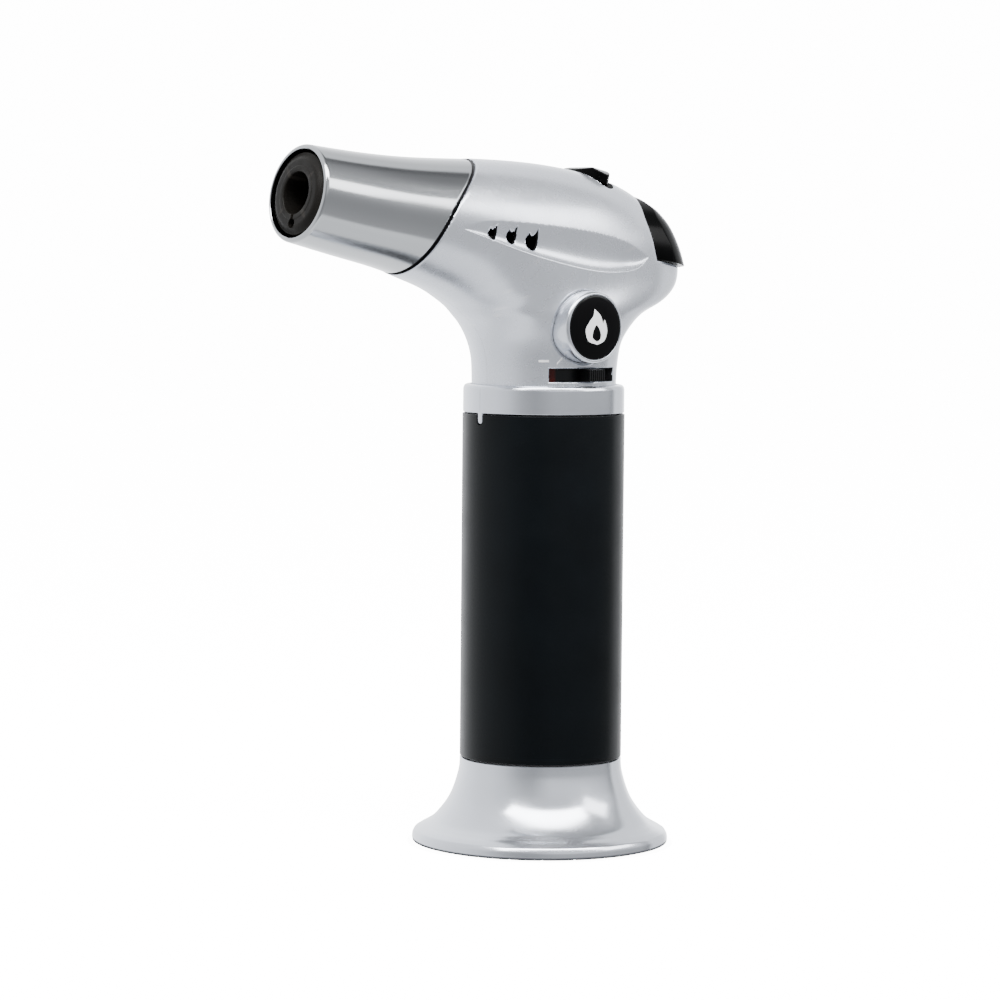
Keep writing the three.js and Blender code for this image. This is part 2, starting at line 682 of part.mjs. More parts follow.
function buildTrigger() {
  const wall = 1.8;
  const side = TRIGGER_HALF_WIDTH;
  const outer = join(stackedCircles(TRIGGER_PAD, 0), block(8, 27, -side, side, 144, 169));
  const inner = join(stackedCircles(TRIGGER_PAD, wall), block(0, 26, wall - side, side - wall, 144, 167));
  const skin = cut(common(triggerPrism(0, 8), outer), common(triggerPrism(-wall, 20), inner));
  const pusher = alongPush(rod(2.6, -7.3, -1, 16));
  const arm = alongPush(block(-7.3, -5.2, 3, 5.2, -4, 32.9));
  add("trigger", join(skin, pusher, arm), blackGloss());

  const socket = rod(3.2, 6, 22, 20);
  add("piezo_body", alongPush(cut(block(-4.6, 4.6, -4.4, 4.4, 7, 26), socket)), redPlastic());
  const plunger = [[0, -0.7], [3.6, -0.7], [3.6, 1.5], [2.8, 1.5], [2.8, 16], [0, 16]];
  add("piezo_plunger", alongPush(turned(plunger, 20)), whitePlastic());
  add("piezo_spring", alongPush(coilSpring(2.3, 0.25, 20.2, 21.8, 1.9)), steel());
}

function buildValveLever() {
  const outline = [
    [-8.5, 128],
    [-6, 125.8],
    [-3.6, 128],
    [-4.6, 150],
    [-3.4, 157],
    [-5.6, 157.2],
    [-7.2, 150],
  ];
  const side = sidePlate(polygon(outline), 3, 5.2);
  const bridge = block(-7.4, -4.4, -4.6, 5.2, 122.4, 123.4);
  const prong = (y) => block(-7.4, 1.4, y - 0.9, y + 0.9, 122.4, 123.4);
  const riser = block(-7.4, -4.8, 3, 5.2, 122.4, 129);
  const pinHole = onAxisY(rod(1.3, -8, 8, 14)).translate(-6, 0, 128);
  add("valve_lever", cut(join(side, bridge, prong(-2.9), prong(2.9), riser), pinHole), steel());
  add("valve_lever_pin", onAxisY(rod(1.0, 1.5, 15.0, 14)).translate(-6, 0, 128), steel());
}

function buildGasTube() {
  const route = new THREE.CatmullRomCurve3([
    new THREE.Vector3(0, 0, 127.3),
    new THREE.Vector3(0.3, -0.4, 133),
    new THREE.Vector3(-1.5, -1.2, 141),
    new THREE.Vector3(-8, -1.2, 149),
    new THREE.Vector3(-16, -0.5, 152.7),
    new THREE.Vector3(-22.4, 0, 154.4),
  ]);
  add("gas_tube", tubeAlong(route, 1.2, 16), whitePlastic());
  const lead = new THREE.CatmullRomCurve3([
    new THREE.Vector3(3.5, -1.5, 159.4),
    new THREE.Vector3(-4, -3.5, 158),
    new THREE.Vector3(-16, -5.5, 150),
    new THREE.Vector3(-28, -4, 149.2),
    new THREE.Vector3(-37.4, -1.5, 149.9),
  ]);
  add("ignition_lead", tubeAlong(lead, 0.7, 18, 6), blackRubber());
}

function buildSlider() {
  // A wedge that rises from its front tip to an upright rear face, on a keeper under the shell.
  const profile = [
    [-5, -2.8],
    [-5, -0.3],
    [-4.4, 0.4],
    [-2.8, 1.15],
    [-0.8, 1.6],
    [1, 1.75],
    [2.6, 1.7],
    [3, 1.3],
    [3, -2.8],
  ];
  const rise = sidePlate(polygon(profile), -9, 9);
  const plate = () => ovalPlate(SLIDER_HALF_LENGTH - GAP, SLIDER_HALF_WIDTH - GAP, -4, 4);
  const oval = common(plate(), plate().translate(-SLIDER_TRAVEL, 0, 0));
  const crown = new THREE.CylinderGeometry(18, 18, 24, 60).rotateZ(Math.PI / 2).translate(0, 0, -16.25);
  add("safety_slider", onSlide(common(common(rise, oval), crown)), blackGloss());
  const keeper = ovalPlate(4.2, 6.2, -4.3, -3.1, 10).translate(-1.7, 0, 0);
  add("slider_keeper", onSlide(keeper), blackGloss());
}

function buildLockButton() {
  const face = BUTTON_FACE;
  const cup = [
    [0, face],
    [BADGE_RADIUS + 0.2, face],
    [BADGE_RADIUS + 0.2, face - 0.4],
    [BUTTON_RADIUS - 0.5, face - 0.4],
    [BUTTON_RADIUS, face + 0.1],
    [BUTTON_RADIUS, -14],
    [BUTTON_RADIUS - 1.4, -14],
    [BUTTON_RADIUS - 1.4, face + 1.6],
    [2.2, face + 1.6],
    [2.2, -5],
    [0, -5],
  ];
  const dome = [
    [0, face - 1.0],
    [3, face - 0.92],
    [6, face - 0.7],
    [7.6, face - 0.42],
    [BADGE_RADIUS, face - 0.3],
    [BADGE_RADIUS, face - 0.05],
    [0, face - 0.05],
  ];
  const place = (geometry) => onAxisY(geometry).translate(BUTTON_X, 0, BUTTON_Z);
  add("lock_button", place(turned(cup, 24)), silverPaint());
  add("badge_dome", place(turned(dome, 24)), blackGloss());
  add("button_seat", place(ring(2.5, 7.2, -10.2, -8.7, 20)), blackGloss());
  add("button_spring", place(coilSpring(3.6, 0.4, -17.6, -10.6, 3)), steel());
}

buildGrip();
buildRefillValve();
buildOutletValve();
buildFlameAdjuster();
buildHousing();
buildBarrel();
buildTrigger();
buildValveLever();
buildGasTube();
buildSlider();
buildLockButton();

// The origin is under the middle of the whole torch.
const box = new THREE.Box3().setFromObject(torch);
torch.position.x = -(box.min.x + box.max.x) / 2;

const part = new THREE.Group();
part.add(torch);
export default part;
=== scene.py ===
"""Looks of a hand-held butane torch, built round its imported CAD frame.

Shapes are drawn in millimetres with the tank axis at x = y = 0 and the floor at z = 0, then moved to
the frame's own place in metres. +Z is up, the nozzle points along -X and the lock button faces -Y.
"""
import json
import math

import bmesh
import bpy
import numpy as np
from mathutils import Matrix, Vector


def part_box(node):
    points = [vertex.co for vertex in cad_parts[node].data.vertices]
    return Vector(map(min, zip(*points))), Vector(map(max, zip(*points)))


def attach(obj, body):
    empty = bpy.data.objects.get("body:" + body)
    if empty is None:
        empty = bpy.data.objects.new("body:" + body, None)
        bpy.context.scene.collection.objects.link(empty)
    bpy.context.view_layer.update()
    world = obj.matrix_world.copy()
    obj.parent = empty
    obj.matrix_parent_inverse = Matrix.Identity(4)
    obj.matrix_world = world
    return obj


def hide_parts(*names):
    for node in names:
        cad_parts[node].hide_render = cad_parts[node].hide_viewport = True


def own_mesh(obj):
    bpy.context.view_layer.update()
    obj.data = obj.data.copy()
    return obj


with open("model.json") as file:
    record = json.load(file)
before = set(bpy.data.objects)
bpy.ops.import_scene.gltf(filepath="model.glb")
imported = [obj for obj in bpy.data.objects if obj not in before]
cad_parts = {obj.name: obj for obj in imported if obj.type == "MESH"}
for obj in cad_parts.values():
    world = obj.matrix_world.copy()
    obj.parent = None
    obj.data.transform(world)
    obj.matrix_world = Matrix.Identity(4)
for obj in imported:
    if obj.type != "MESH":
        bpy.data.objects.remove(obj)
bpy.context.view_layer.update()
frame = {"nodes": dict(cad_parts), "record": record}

MM = 0.001
foot_low, foot_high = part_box("base_foot")
AXIS_X = (foot_low.x + foot_high.x) / 2  # the tank axis, in metres
BODY = "torch_body"

# ---- shared dimensions, in millimetres ----
GAP = 0.3
WALL = 2.0
PITCH = math.radians(10)  # rise of the barrel
TIP = np.array([-76.7, 0.0, 164.0])
PUSH_PITCH = math.radians(7)  # rise of the trigger's travel
PUSH_ORIGIN = np.array([30.0, 0.0, 155.7])
SLIDE_SLOPE = math.radians(12)
SLIDE_ORIGIN = np.array([13.8, 0.0, 170.4])
SLOT_Z, SLOT_HEIGHT, SLOT_FROM, SLOT_TO = 119.8, 3.4, -35, 32
NECK_RADIUS = 18.4
BUTTON_X, BUTTON_Z, BUTTON_RADIUS, BUTTON_FACE = -1.9, 131.8, 9.0, -22.2
SCREWS = [(-31, 143.6), (-12, 166.4), (33, 143.4)]
SCREW_SEAT = 8.5
SCREW_HEAD_ROOM = 2.7  # radius of the counterbores
TRIGGER_WALL = 1.8
TRIGGER_HALF_WIDTH = 13.2
SLIDER_TRAVEL = 1.5
VENTS = [(-29.5, 155.0, 3.7), (-23.8, 154.3, 4.3), (-17.7, 153.2, 5.2)]


def tilted(origin, pitch):
    """Frame whose +Z runs along -X with that rise, and whose +X is up."""
    up = [math.sin(pitch), 0, math.cos(pitch)]
    out = [-math.cos(pitch), 0, math.sin(pitch)]
    across = [0, 1, 0]
    rows = [(up[i], across[i], out[i], origin[i]) for i in range(3)]
    return Matrix((*rows, (0, 0, 0, 1)))


BARREL = tilted(TIP, PITCH)
PUSH = tilted(PUSH_ORIGIN, PUSH_PITCH)
SLIDE = Matrix.Translation(Vector(SLIDE_ORIGIN)) @ Matrix.Rotation(SLIDE_SLOPE, 4, "Y")
SIDE = Matrix.Rotation(-math.pi / 2, 4, "X")  # local +Z to +Y
BUTTON = Matrix.Translation((BUTTON_X, 0, BUTTON_Z)) @ SIDE


# ---- meshes ----
def new_object(name, verts, faces, place=Matrix.Identity(4)):
    """A mesh object from points in millimetres, with its faces turned outwards."""
    mesh = bpy.data.meshes.new(name)
    mesh.from_pydata([tuple(v) for v in verts], [], faces)
    mesh.transform(Matrix.Translation((AXIS_X, 0, 0)) @ Matrix.Scale(MM, 4) @ place)
    bm = bmesh.new()
    bm.from_mesh(mesh)
    bmesh.ops.recalc_face_normals(bm, faces=bm.faces)
    bm.to_mesh(mesh)
    bm.free()
    made = bpy.data.objects.new(name, mesh)
    bpy.context.scene.collection.objects.link(made)
    return made


def applied(obj):
    """Puts an object's modifiers into its mesh."""
    bpy.context.view_layer.update()
    graph = bpy.context.evaluated_depsgraph_get()
    mesh = bpy.data.meshes.new_from_object(obj.evaluated_get(graph))
    obj.modifiers.clear()
    obj.data = mesh
    return obj


def combine(obj, tool, operation="DIFFERENCE", keep=False):
    modifier = obj.modifiers.new("combine", "BOOLEAN")
    modifier.operation, modifier.solver, modifier.object = operation, "MANIFOLD", tool
    modifier.material_mode = "TRANSFER"
    applied(obj)
    if not keep:
        bpy.data.objects.remove(tool)
    return obj


def cut(obj, *tools):
    for tool in tools:
        combine(obj, tool)
    return obj


def union(obj, tool):
    return combine(obj, tool, "UNION")


def common(obj, tool):
    return combine(obj, tool, "INTERSECT")


def duplicate(obj, name):
    made = bpy.data.objects.new(name, obj.data.copy())
    bpy.context.scene.collection.objects.link(made)
    return made


def rounded(profile, radius, steps=4):
    """The profile with each corner off the axis replaced by a small curve."""
    points = [np.array(p[:2], float) for p in profile]
    count = len(points)
    out = []
    for i, p in enumerate(points):
        r = profile[i][2] if len(profile[i]) > 2 else radius
        before, after = points[i - 1], points[(i + 1) % count]
        if r <= 0 or p[0] <= 1e-9:
            out.append(p)
            continue
        a, b = before - p, after - p
        la, lb = np.linalg.norm(a), np.linalg.norm(b)
        start = p + a / la * min(r, 0.45 * la)
        end = p + b / lb * min(r, 0.45 * lb)
        for k in range(steps + 1):
            t = k / steps
            out.append((1 - t) ** 2 * start + 2 * t * (1 - t) * p + t ** 2 * end)
    return out


def lathe(name, profile, place=Matrix.Identity(4), radius=0.15, segments=128, steps=4):
    """A closed [radius, height] profile turned about the local Z axis."""
    points = rounded(profile, radius, steps)
    verts, rows = [], []
    for r, z in points:
        if r <= 1e-9:
            rows.append([len(verts)] * segments)
            verts.append((0, 0, z))
            continue
        rows.append(list(range(len(verts), len(verts) + segments)))
        for s in range(segments):
            a = 2 * math.pi * s / segments
            verts.append((r * math.cos(a), r * math.sin(a), z))
    faces = []
    for i, row in enumerate(rows):
        after = rows[(i + 1) % len(rows)]
        for s in range(segments):
            n = (s + 1) % segments
            face = [row[s], row[n], after[n], after[s]]
            corner = list(dict.fromkeys(face))
            if len(corner) > 2:
                faces.append(corner)
    return new_object(name, verts, faces, place)


def prism(name, outline, low, high, place=Matrix.Identity(4)):
    """A flat outline in local X and Y, standing from low to high."""
    count = len(outline)
    verts = [(x, y, z) for z in (low, high) for x, y in outline]
    faces = [list(range(count)), list(range(count, 2 * count))]
    faces += [[i, (i + 1) % count, count + (i + 1) % count, count + i] for i in range(count)]
    return new_object(name, verts, faces, place)


def side_prism(name, outline, y0, y1):
    """An outline drawn in X and Z, standing from y0 to y1."""
    return prism(name, [(x, -z) for x, z in outline], y0, y1, SIDE)


def cuboid(name, low, high, place=Matrix.Identity(4)):
    outline = [(low[0], low[1]), (high[0], low[1]), (high[0], high[1]), (low[0], high[1])]
    return prism(name, outline, low[2], high[2], place)


def pill(name, half, low, high, x0, x1):
    """A tongue with a round lower end, facing -X."""
    turn = np.linspace(math.pi, 2 * math.pi, 17)
    round_end = [(half * math.cos(a), low + half + half * math.sin(a)) for a in turn]
    across = Matrix(((0, 0, 1, 0), (1, 0, 0, 0), (0, 1, 0, 0), (0, 0, 0, 1)))
    return prism(name, [*round_end, (half, high), (-half, high)], x0, x1, across)


def circle(x, z, radius, count=64):
    turn = np.linspace(0, 2 * math.pi, count, endpoint=False)
    return [(x + radius * math.cos(a), z + radius * math.sin(a)) for a in turn]


def smooth_curve(points, per_span=10):
    """Catmull-Rom curve through the points, open at both ends."""
    p = [np.array(q, float) for q in points]
    p = [2 * p[0] - p[1]] + p + [2 * p[-1] - p[-2]]
    out = []
    for a, b, c, d in zip(p, p[1:], p[2:], p[3:]):
        for k in range(per_span):
            t = k / per_span
            square, cube = (2 * a - 5 * b + 4 * c - d) * t ** 2, (3 * b - a - 3 * c + d) * t ** 3
            out.append(0.5 * (2 * b + (c - a) * t + square + cube))
    out.append(p[-2])
    return np.array(out)


def signed_distance(x, y, outline):
    """Distance from points to a closed outline, negative inside it."""
    edge = np.array(outline, float)
    best = np.full(len(x), 1e9)
    inside = np.zeros(len(x), bool)
    for (ax, ay), (bx, by) in zip(edge, np.roll(edge, -1, axis=0)):
        ex, ey = bx - ax, by - ay
        length = ex * ex + ey * ey
        if length < 1e-12:
            continue
        t = np.clip(((x - ax) * ex + (y - ay) * ey) / length, 0, 1)
        best = np.minimum(best, (x - ax - t * ex) ** 2 + (y - ay - t * ey) ** 2)
        if ay != by:
            crosses = (ay > y) != (by > y)
            inside ^= crosses & (x < ax + (y - ay) * ex / ey)
    return np.sqrt(best) * np.where(inside, -1, 1)


def rolled(distance, radius):
    """How far a surface sinks beside an edge rounded to that radius."""
    s = np.clip(distance, 0, radius)
    return radius - np.sqrt(np.maximum(radius ** 2 - (radius - s) ** 2, 0))


def fine(obj, sharp=32):
    obj.data.shade_smooth()
    obj.data.set_sharp_from_angle(angle=math.radians(sharp))
    return obj


# ---- head surface ----
BARREL_UP = np.array([math.sin(PITCH), math.cos(PITCH)])
BARREL_OUT = np.array([-math.cos(PITCH), math.sin(PITCH)])


def barrel_station(behind, radius):
    centre = TIP[[0, 2]] - behind * BARREL_OUT
    return [*(centre - radius * BARREL_UP), *(centre + radius * BARREL_UP), radius, 0.5]


# front x and z, back x and z, half width, and where from front to back it is widest
HEAD = np.array([
    [-18.3, 110.4, 18.4, 110.4, 18.35, 0.5],
    [-18.3, 115.5, 18.4, 115.5, 18.35, 0.49],
    [-18.3, 120.0, 18.5, 120.0, 18.4, 0.48],
    [-18.6, 124.0, 19.2, 123.9, 18.4, 0.48],
    [-19.8, 127.6, 20.1, 127.9, 18.7, 0.47],
    [-21.4, 130.4, 23.1, 131.4, 19.2, 0.45],
    [-23.5, 132.7, 27.9, 135.8, 19.6, 0.44],
    [-25.9, 134.5, 35.2, 137.7, 19.4, 0.41],
    [-27.7, 136.0, 41.2, 142.1, 18.7, 0.37],
    [-29.6, 137.2, 42.0, 146.5, 18.3, 0.35],
    [-31.5, 138.2, 42.0, 151.3, 18.3, 0.35],
    [-33.6, 139.3, 38.9, 157.4, 18.4, 0.37],
    [-35.9, 140.4, 32.8, 161.4, 18.4, 0.4],
    [-38.5, 141.4, 24.5, 167.0, 18.3, 0.43],
    [-41.2, 142.3, 11.0, 170.9, 17.9, 0.46],
    [-44.3, 143.3, -6.0, 173.1, 17.1, 0.48],
    [-48.3, 144.7, -25.0, 173.6, 16.0, 0.5],
    [-54.8, 146.5, -43.0, 173.3, 14.6, 0.5],
    barrel_station(15, 13.1),
    barrel_station(0, 12.15),
    barrel_station(-15, 11.2),
])
TIP_STATION, STATION_STEP = 19, 15


def station(u):
    """Uniform cubic B-spline through the stations, straight beyond both ends."""
    table = np.vstack([2 * HEAD[0] - HEAD[1], HEAD, 2 * HEAD[-1] - HEAD[-2]])
    i = np.clip(np.floor(u).astype(int), -1, len(HEAD) - 2)
    t = (u - i)[:, None]
    w = [
        (1 - t) ** 3 / 6,
        (3 * t ** 3 - 6 * t ** 2 + 4) / 6,
        (-3 * t ** 3 + 3 * t ** 2 + 3 * t + 1) / 6,
        t ** 3 / 6,
    ]
    rows = [table[np.clip(i + k, 0, len(table) - 1)] for k in range(4)]
    return sum(a * b for a, b in zip(w, rows))


LEAF_FRONT, LEAF_BACK = (-38.5, 156.0), (22, 149.4)
LEAF_UPPER = smooth_curve([LEAF_FRONT, (-31, 157.7), (-14, 157.0), (2, 155.3), (13.5, 153.0), LEAF_BACK])
LEAF_LOWER = smooth_curve([
    LEAF_FRONT, (-31, 153.6), (-16, 149.1), (-1, 146.1), (10, 145.5), (17.5, 146.6), LEAF_BACK,
])
LEAF_DEPTH = 1.2


def scallop(x, z):
    """Depth of the leaf-shaped scallop in each flank."""
    upper = np.interp(x, LEAF_UPPER[:, 0], LEAF_UPPER[:, 1])
    lower = np.interp(x, LEAF_LOWER[:, 0], LEAF_LOWER[:, 1])
    width = np.maximum(upper - lower, 1e-6)
    across = np.clip((z - lower) / width, 0, 1)
    depth = LEAF_DEPTH * np.minimum(width / 7, 1) ** 1.2
    inside = (x > LEAF_UPPER[0, 0]) & (x < LEAF_UPPER[-1, 0])
    eased = np.where(across < 0.06, across ** 2 / 0.12, across - 0.03) / 0.97
    return np.where(inside, depth * np.sin(math.pi * eased ** 0.68), 0)


def head_points(u, c, s, inset, with_leaf=True):
    fx, fz, bx, bz, half, widest = station(u).T
    length = np.hypot(bx - fx, bz - fz)
    middle = widest * length
    reach = np.where(c > 0, length - middle, middle) - inset
    along = (middle + reach * c) / length
    x = fx + along * (bx - fx)
    z = fz + along * (bz - fz)
    y = (half - inset) * s
    if with_leaf:
        flank = np.abs(s) > 0.5
        y = np.where(flank, y - np.sign(y) * scallop(x, z), y)
    return np.stack([x, y, z], 1)


def head_solid(name, inset, start, end, rings, segments, edges=None, bands=(), with_leaf=False):
    """The head between two stations. edges(points, u) gives how far each point lies from a feature's
    edge and how far it sinks there; bands are the distances within which the mesh is made finer."""
    turn = 2 * math.pi * np.arange(segments) / segments
    u = np.repeat(np.linspace(start, end, rings + 1), segments)
    c, s = np.tile(np.cos(turn), rings + 1), np.tile(np.sin(turn), rings + 1)
    faces = []
    for r in range(rings):
        for k in range(segments):
            n = (k + 1) % segments
            a, b = r * segments, (r + 1) * segments
            faces.append((a + k, a + n, b + n, b + k))
    first, last = len(u), len(u) + 1
    top = rings * segments
    faces += [(first, (k + 1) % segments, k) for k in range(segments)]
    faces += [(last, top + k, top + (k + 1) % segments) for k in range(segments)]
    u = np.append(u, [start, end])
    c, s = np.append(c, [0, 0]), np.append(s, [0, 0])
    bm = bmesh.new()
    layers = [bm.verts.layers.float.new(n) for n in ("u", "c", "s")]
    made = [bm.verts.new((0, 0, 0)) for _ in u]
    for v, row in zip(made, zip(u, c, s)):
        for layer, value in zip(layers, row):
            v[layer] = value
    for f in faces:
        bm.faces.new([made[i] for i in f])

    def read():
        values = np.array([[v[layer] for layer in layers] for v in bm.verts])
        norm = np.hypot(values[:, 1], values[:, 2])
        rim = norm > 0.5
        values[rim, 1:] /= norm[rim, None]
        return values

    for band in bands:
        bm.verts.index_update()
        values = read()
        near = edges(head_points(*values.T, inset, with_leaf), values[:, 0])[0] < band
        chosen = [e for e in bm.edges if near[e.verts[0].index] and near[e.verts[1].index]]
        bmesh.ops.subdivide_edges(bm, edges=chosen, cuts=1, use_grid_fill=True)
    values = read()
    sink = edges(head_points(*values.T, inset, with_leaf), values[:, 0])[1] if edges else 0
    points = head_points(*values.T, inset + sink, with_leaf)
    for v, p in zip(bm.verts, points):
        v.co = p
    bmesh.ops.triangulate(bm, faces=bm.faces)
    mesh = bpy.data.meshes.new(name)
    bm.to_mesh(mesh)
    bm.free()
    mesh.transform(Matrix.Translation((AXIS_X, 0, 0)) @ Matrix.Scale(MM, 4))
    if mesh.polygons and signed_volume(mesh) < 0:
        mesh.flip_normals()
    made = bpy.data.objects.new(name, mesh)
    bpy.context.scene.collection.objects.link(made)
    return made


def signed_volume(mesh):
    co = np.zeros(len(mesh.vertices) * 3)
    mesh.vertices.foreach_get("co", co)
    co = co.reshape(-1, 3)
    tri = np.array([p.vertices[:] for p in mesh.polygons])
    a, b, c = co[tri[:, 0]], co[tri[:, 1]], co[tri[:, 2]]
    return float(np.einsum("ij,ij->i", a, np.cross(b, c)).sum())


# ---- outlines of the openings in the housing ----
PARTING = [(-21.5, 177), (-29, 171.4), (-37.2, 164.1), (-42.2, 157), (-46.8, 147.1), (-49.6, 140)]


def ahead_of_parting(shift):
    line = smooth_curve([(x + shift, z) for x, z in PARTING], 12)
    return [*line, (-110, 140), (-110, 190), (PARTING[0][0] + shift, 190)]


def trigger_outline(clearance, sides=24):
    base = -7.4 - clearance
    height, half = 16.4 + 2 * clearance, TRIGGER_HALF_WIDTH + clearance
    arch = []
    for i in range(sides + 1):
        a = i / sides * math.pi / 2
        arch.append((base + height * math.sin(a) ** 0.9, half * math.cos(a)))
    return arch + [(x, -y) for x, y in reversed(arch[:-1])]


def oval(half_length, half_width, x=0.0, count=96):
    turn = np.linspace(0, 2 * math.pi, count, endpoint=False)
    return [(x + half_length * math.cos(a), half_width * math.sin(a)) for a in turn]


def flame_outline(x, z, height):
    """Two-pronged flame, leaning back, as a rounded outline in X and Z."""
    w = height * 0.34
    left = [(-0.1, -0.5), (-0.95, -0.22), (-0.98, 0.08), (-0.5, 0.36)]
    notch = [(-0.02, 0.2), (0.5, 0.34), (0.95, 0.56)]
    right = [(1.0, 0.2), (1.0, -0.12), (0.62, -0.42), (-0.1, -0.5)]
    left, notch, right = ([(x + a * w, z + b * height) for a, b in side] for side in (left, notch, right))
    a, b, c = smooth_curve(left, 5), smooth_curve([left[-1], *notch], 4), smooth_curve([notch[-1], *right], 5)
    return [tuple(p) for p in [*a[:-1], *b[:-1], *c[:-1]]]


def sector(inner, outer, start, end, steps=24):
    turn = np.radians(np.linspace(start, end, steps + 1))
    rim = [(outer * math.sin(a), -outer * math.cos(a)) for a in turn]
    return rim + [(inner * math.sin(a), -inner * math.cos(a)) for a in turn[::-1]]


TRIGGER_PAD = [
    (143, 30.2, 13.2), (147, 29.0, 13.45), (152, 26.9, 13.6), (157, 26.1, 11.9),
    (160.2, 25.1, 10.2), (162.4, 23.4, 9.0), (166, 19, 6.4), (169.5, 13.2, 3.6),
]


def pad_solid(name, inset, segments=96):
    rows = smooth_curve(TRIGGER_PAD, 5)
    turn = 2 * math.pi * np.arange(segments) / segments
    verts = [(x + (r - inset) * math.cos(a), (r - inset) * math.sin(a), z) for z, x, r in rows for a in turn]
    faces = [list(range(segments)), list(range(len(verts) - segments, len(verts)))]
    for i in range(len(rows) - 1):
        for k in range(segments):
            n = (k + 1) % segments
            faces.append([i * segments + k, i * segments + n, (i + 1) * segments + n, (i + 1) * segments + k])
    return new_object(name, verts, faces)


def frame_coordinates(points, place):
    inverse = np.array(place.inverted())
    return points @ inverse[:3, :3].T + inverse[:3, 3]


PARTING_HOUSING, PARTING_GUARD = ahead_of_parting(0.25), ahead_of_parting(-0.7)
VENT_OUTLINES = [flame_outline(*v) for v in VENTS]
POCKET = oval(5.0, 9.2)
WINDOW = trigger_outline(GAP)


def housing_edges(points, u):
    """(distance to the nearest rolled edge, depth sunk there) over the housing."""
    x, y, z = points.T
    push = frame_coordinates(points, PUSH)
    slide = frame_coordinates(points, SLIDE)
    around = np.arctan2(x, -y) * NECK_RADIUS
    far = 99.0
    half = SLOT_HEIGHT / 2
    low, high = SLOT_Z - half, SLOT_Z + half
    begin, end = math.radians(SLOT_FROM) * NECK_RADIUS, math.radians(SLOT_TO) * NECK_RADIUS
    slot = [(begin, low), (end, low), (end, high), (begin, high)]
    features = [
        (signed_distance(x, z, PARTING_HOUSING), 0.5),
        (np.where(push[:, 2] < 14, signed_distance(push[:, 0], push[:, 1], WINDOW), far), 0.45),
        (np.where(slide[:, 2] > -4.5, signed_distance(slide[:, 0], slide[:, 1], POCKET), far), 0.45),
        (np.where((y < 0) & (z < 130), signed_distance(around, z, slot), far), 0.35),
        (np.where(y < 0, np.hypot(x - BUTTON_X, z - BUTTON_Z) - BUTTON_RADIUS - GAP, far), 0.4),
        (np.abs(y) - 0.02, 0.1),
    ]
    for outline in VENT_OUTLINES:
        features.append((np.where(np.abs(y) > 8, signed_distance(x, z, outline), far), 0.32))
    for sx, sz in SCREWS:
        features.append((np.where(y > 0, np.hypot(x - sx, z - sz) - SCREW_HEAD_ROOM, far), 0.3))
    near = np.min([np.abs(d) for d, _ in features], axis=0)
    depth = np.max([np.where(d > 0, rolled(d, r), 0) for d, r in features], axis=0)
    upper = np.interp(x, LEAF_UPPER[:, 0], LEAF_UPPER[:, 1])
    lower = np.interp(x, LEAF_LOWER[:, 0], LEAF_LOWER[:, 1])
    in_leaf = (np.abs(y) > 8) & (x > -39) & (x < 22.5)
    crease = np.where(in_leaf, np.minimum(np.abs(z - upper) + 0.5, np.abs(z - lower)), far)
    return np.minimum(near, crease + 0.25), depth


def guard_edges(points, u):
    x, _, z = points.T
    lip = (TIP_STATION - u) * STATION_STEP
    parting = -signed_distance(x, z, PARTING_GUARD)
    depth = np.maximum(np.where(parting > 0, rolled(parting, 0.35), 0), rolled(lip, 0.9))
    return np.minimum(np.abs(parting), np.abs(lip - 0.4) * 0.7), depth


# ---- materials ----
def link(tree, a, b):
    tree.links.new(a, b)


def noise_node(tree, scale, detail=3.0, stretch=(1, 1, 1), turn=(0, 0, 0), roughness=0.5):
    coords = tree.nodes.new("ShaderNodeTexCoord")
    mapping = tree.nodes.new("ShaderNodeMapping")
    mapping.inputs["Rotation"].default_value = turn
    mapping.inputs["Scale"].default_value = stretch
    noise = tree.nodes.new("ShaderNodeTexNoise")
    noise.inputs["Scale"].default_value = scale
    noise.inputs["Detail"].default_value = detail
    noise.inputs["Roughness"].default_value = roughness
    link(tree, coords.outputs["Object"], mapping.inputs["Vector"])
    link(tree, mapping.outputs["Vector"], noise.inputs["Vector"])
    return noise.outputs["Fac"]


def ranged(tree, value, low, high, start=0.3, end=0.7):
    node = tree.nodes.new("ShaderNodeMapRange")
    node.inputs["From Min"].default_value, node.inputs["From Max"].default_value = start, end
    node.inputs["To Min"].default_value, node.inputs["To Max"].default_value = low, high
    link(tree, value, node.inputs["Value"])
    return node.outputs["Result"]


def mixed(tree, factor, a, b):
    node = tree.nodes.new("ShaderNodeMix")
    node.data_type = "RGBA"
    link(tree, factor, node.inputs["Factor"])
    for socket, value in ((node.inputs[6], a), (node.inputs[7], b)):
        if isinstance(value, tuple):
            socket.default_value = (*value, 1)
        else:
            link(tree, value, socket)
    return node.outputs[2]


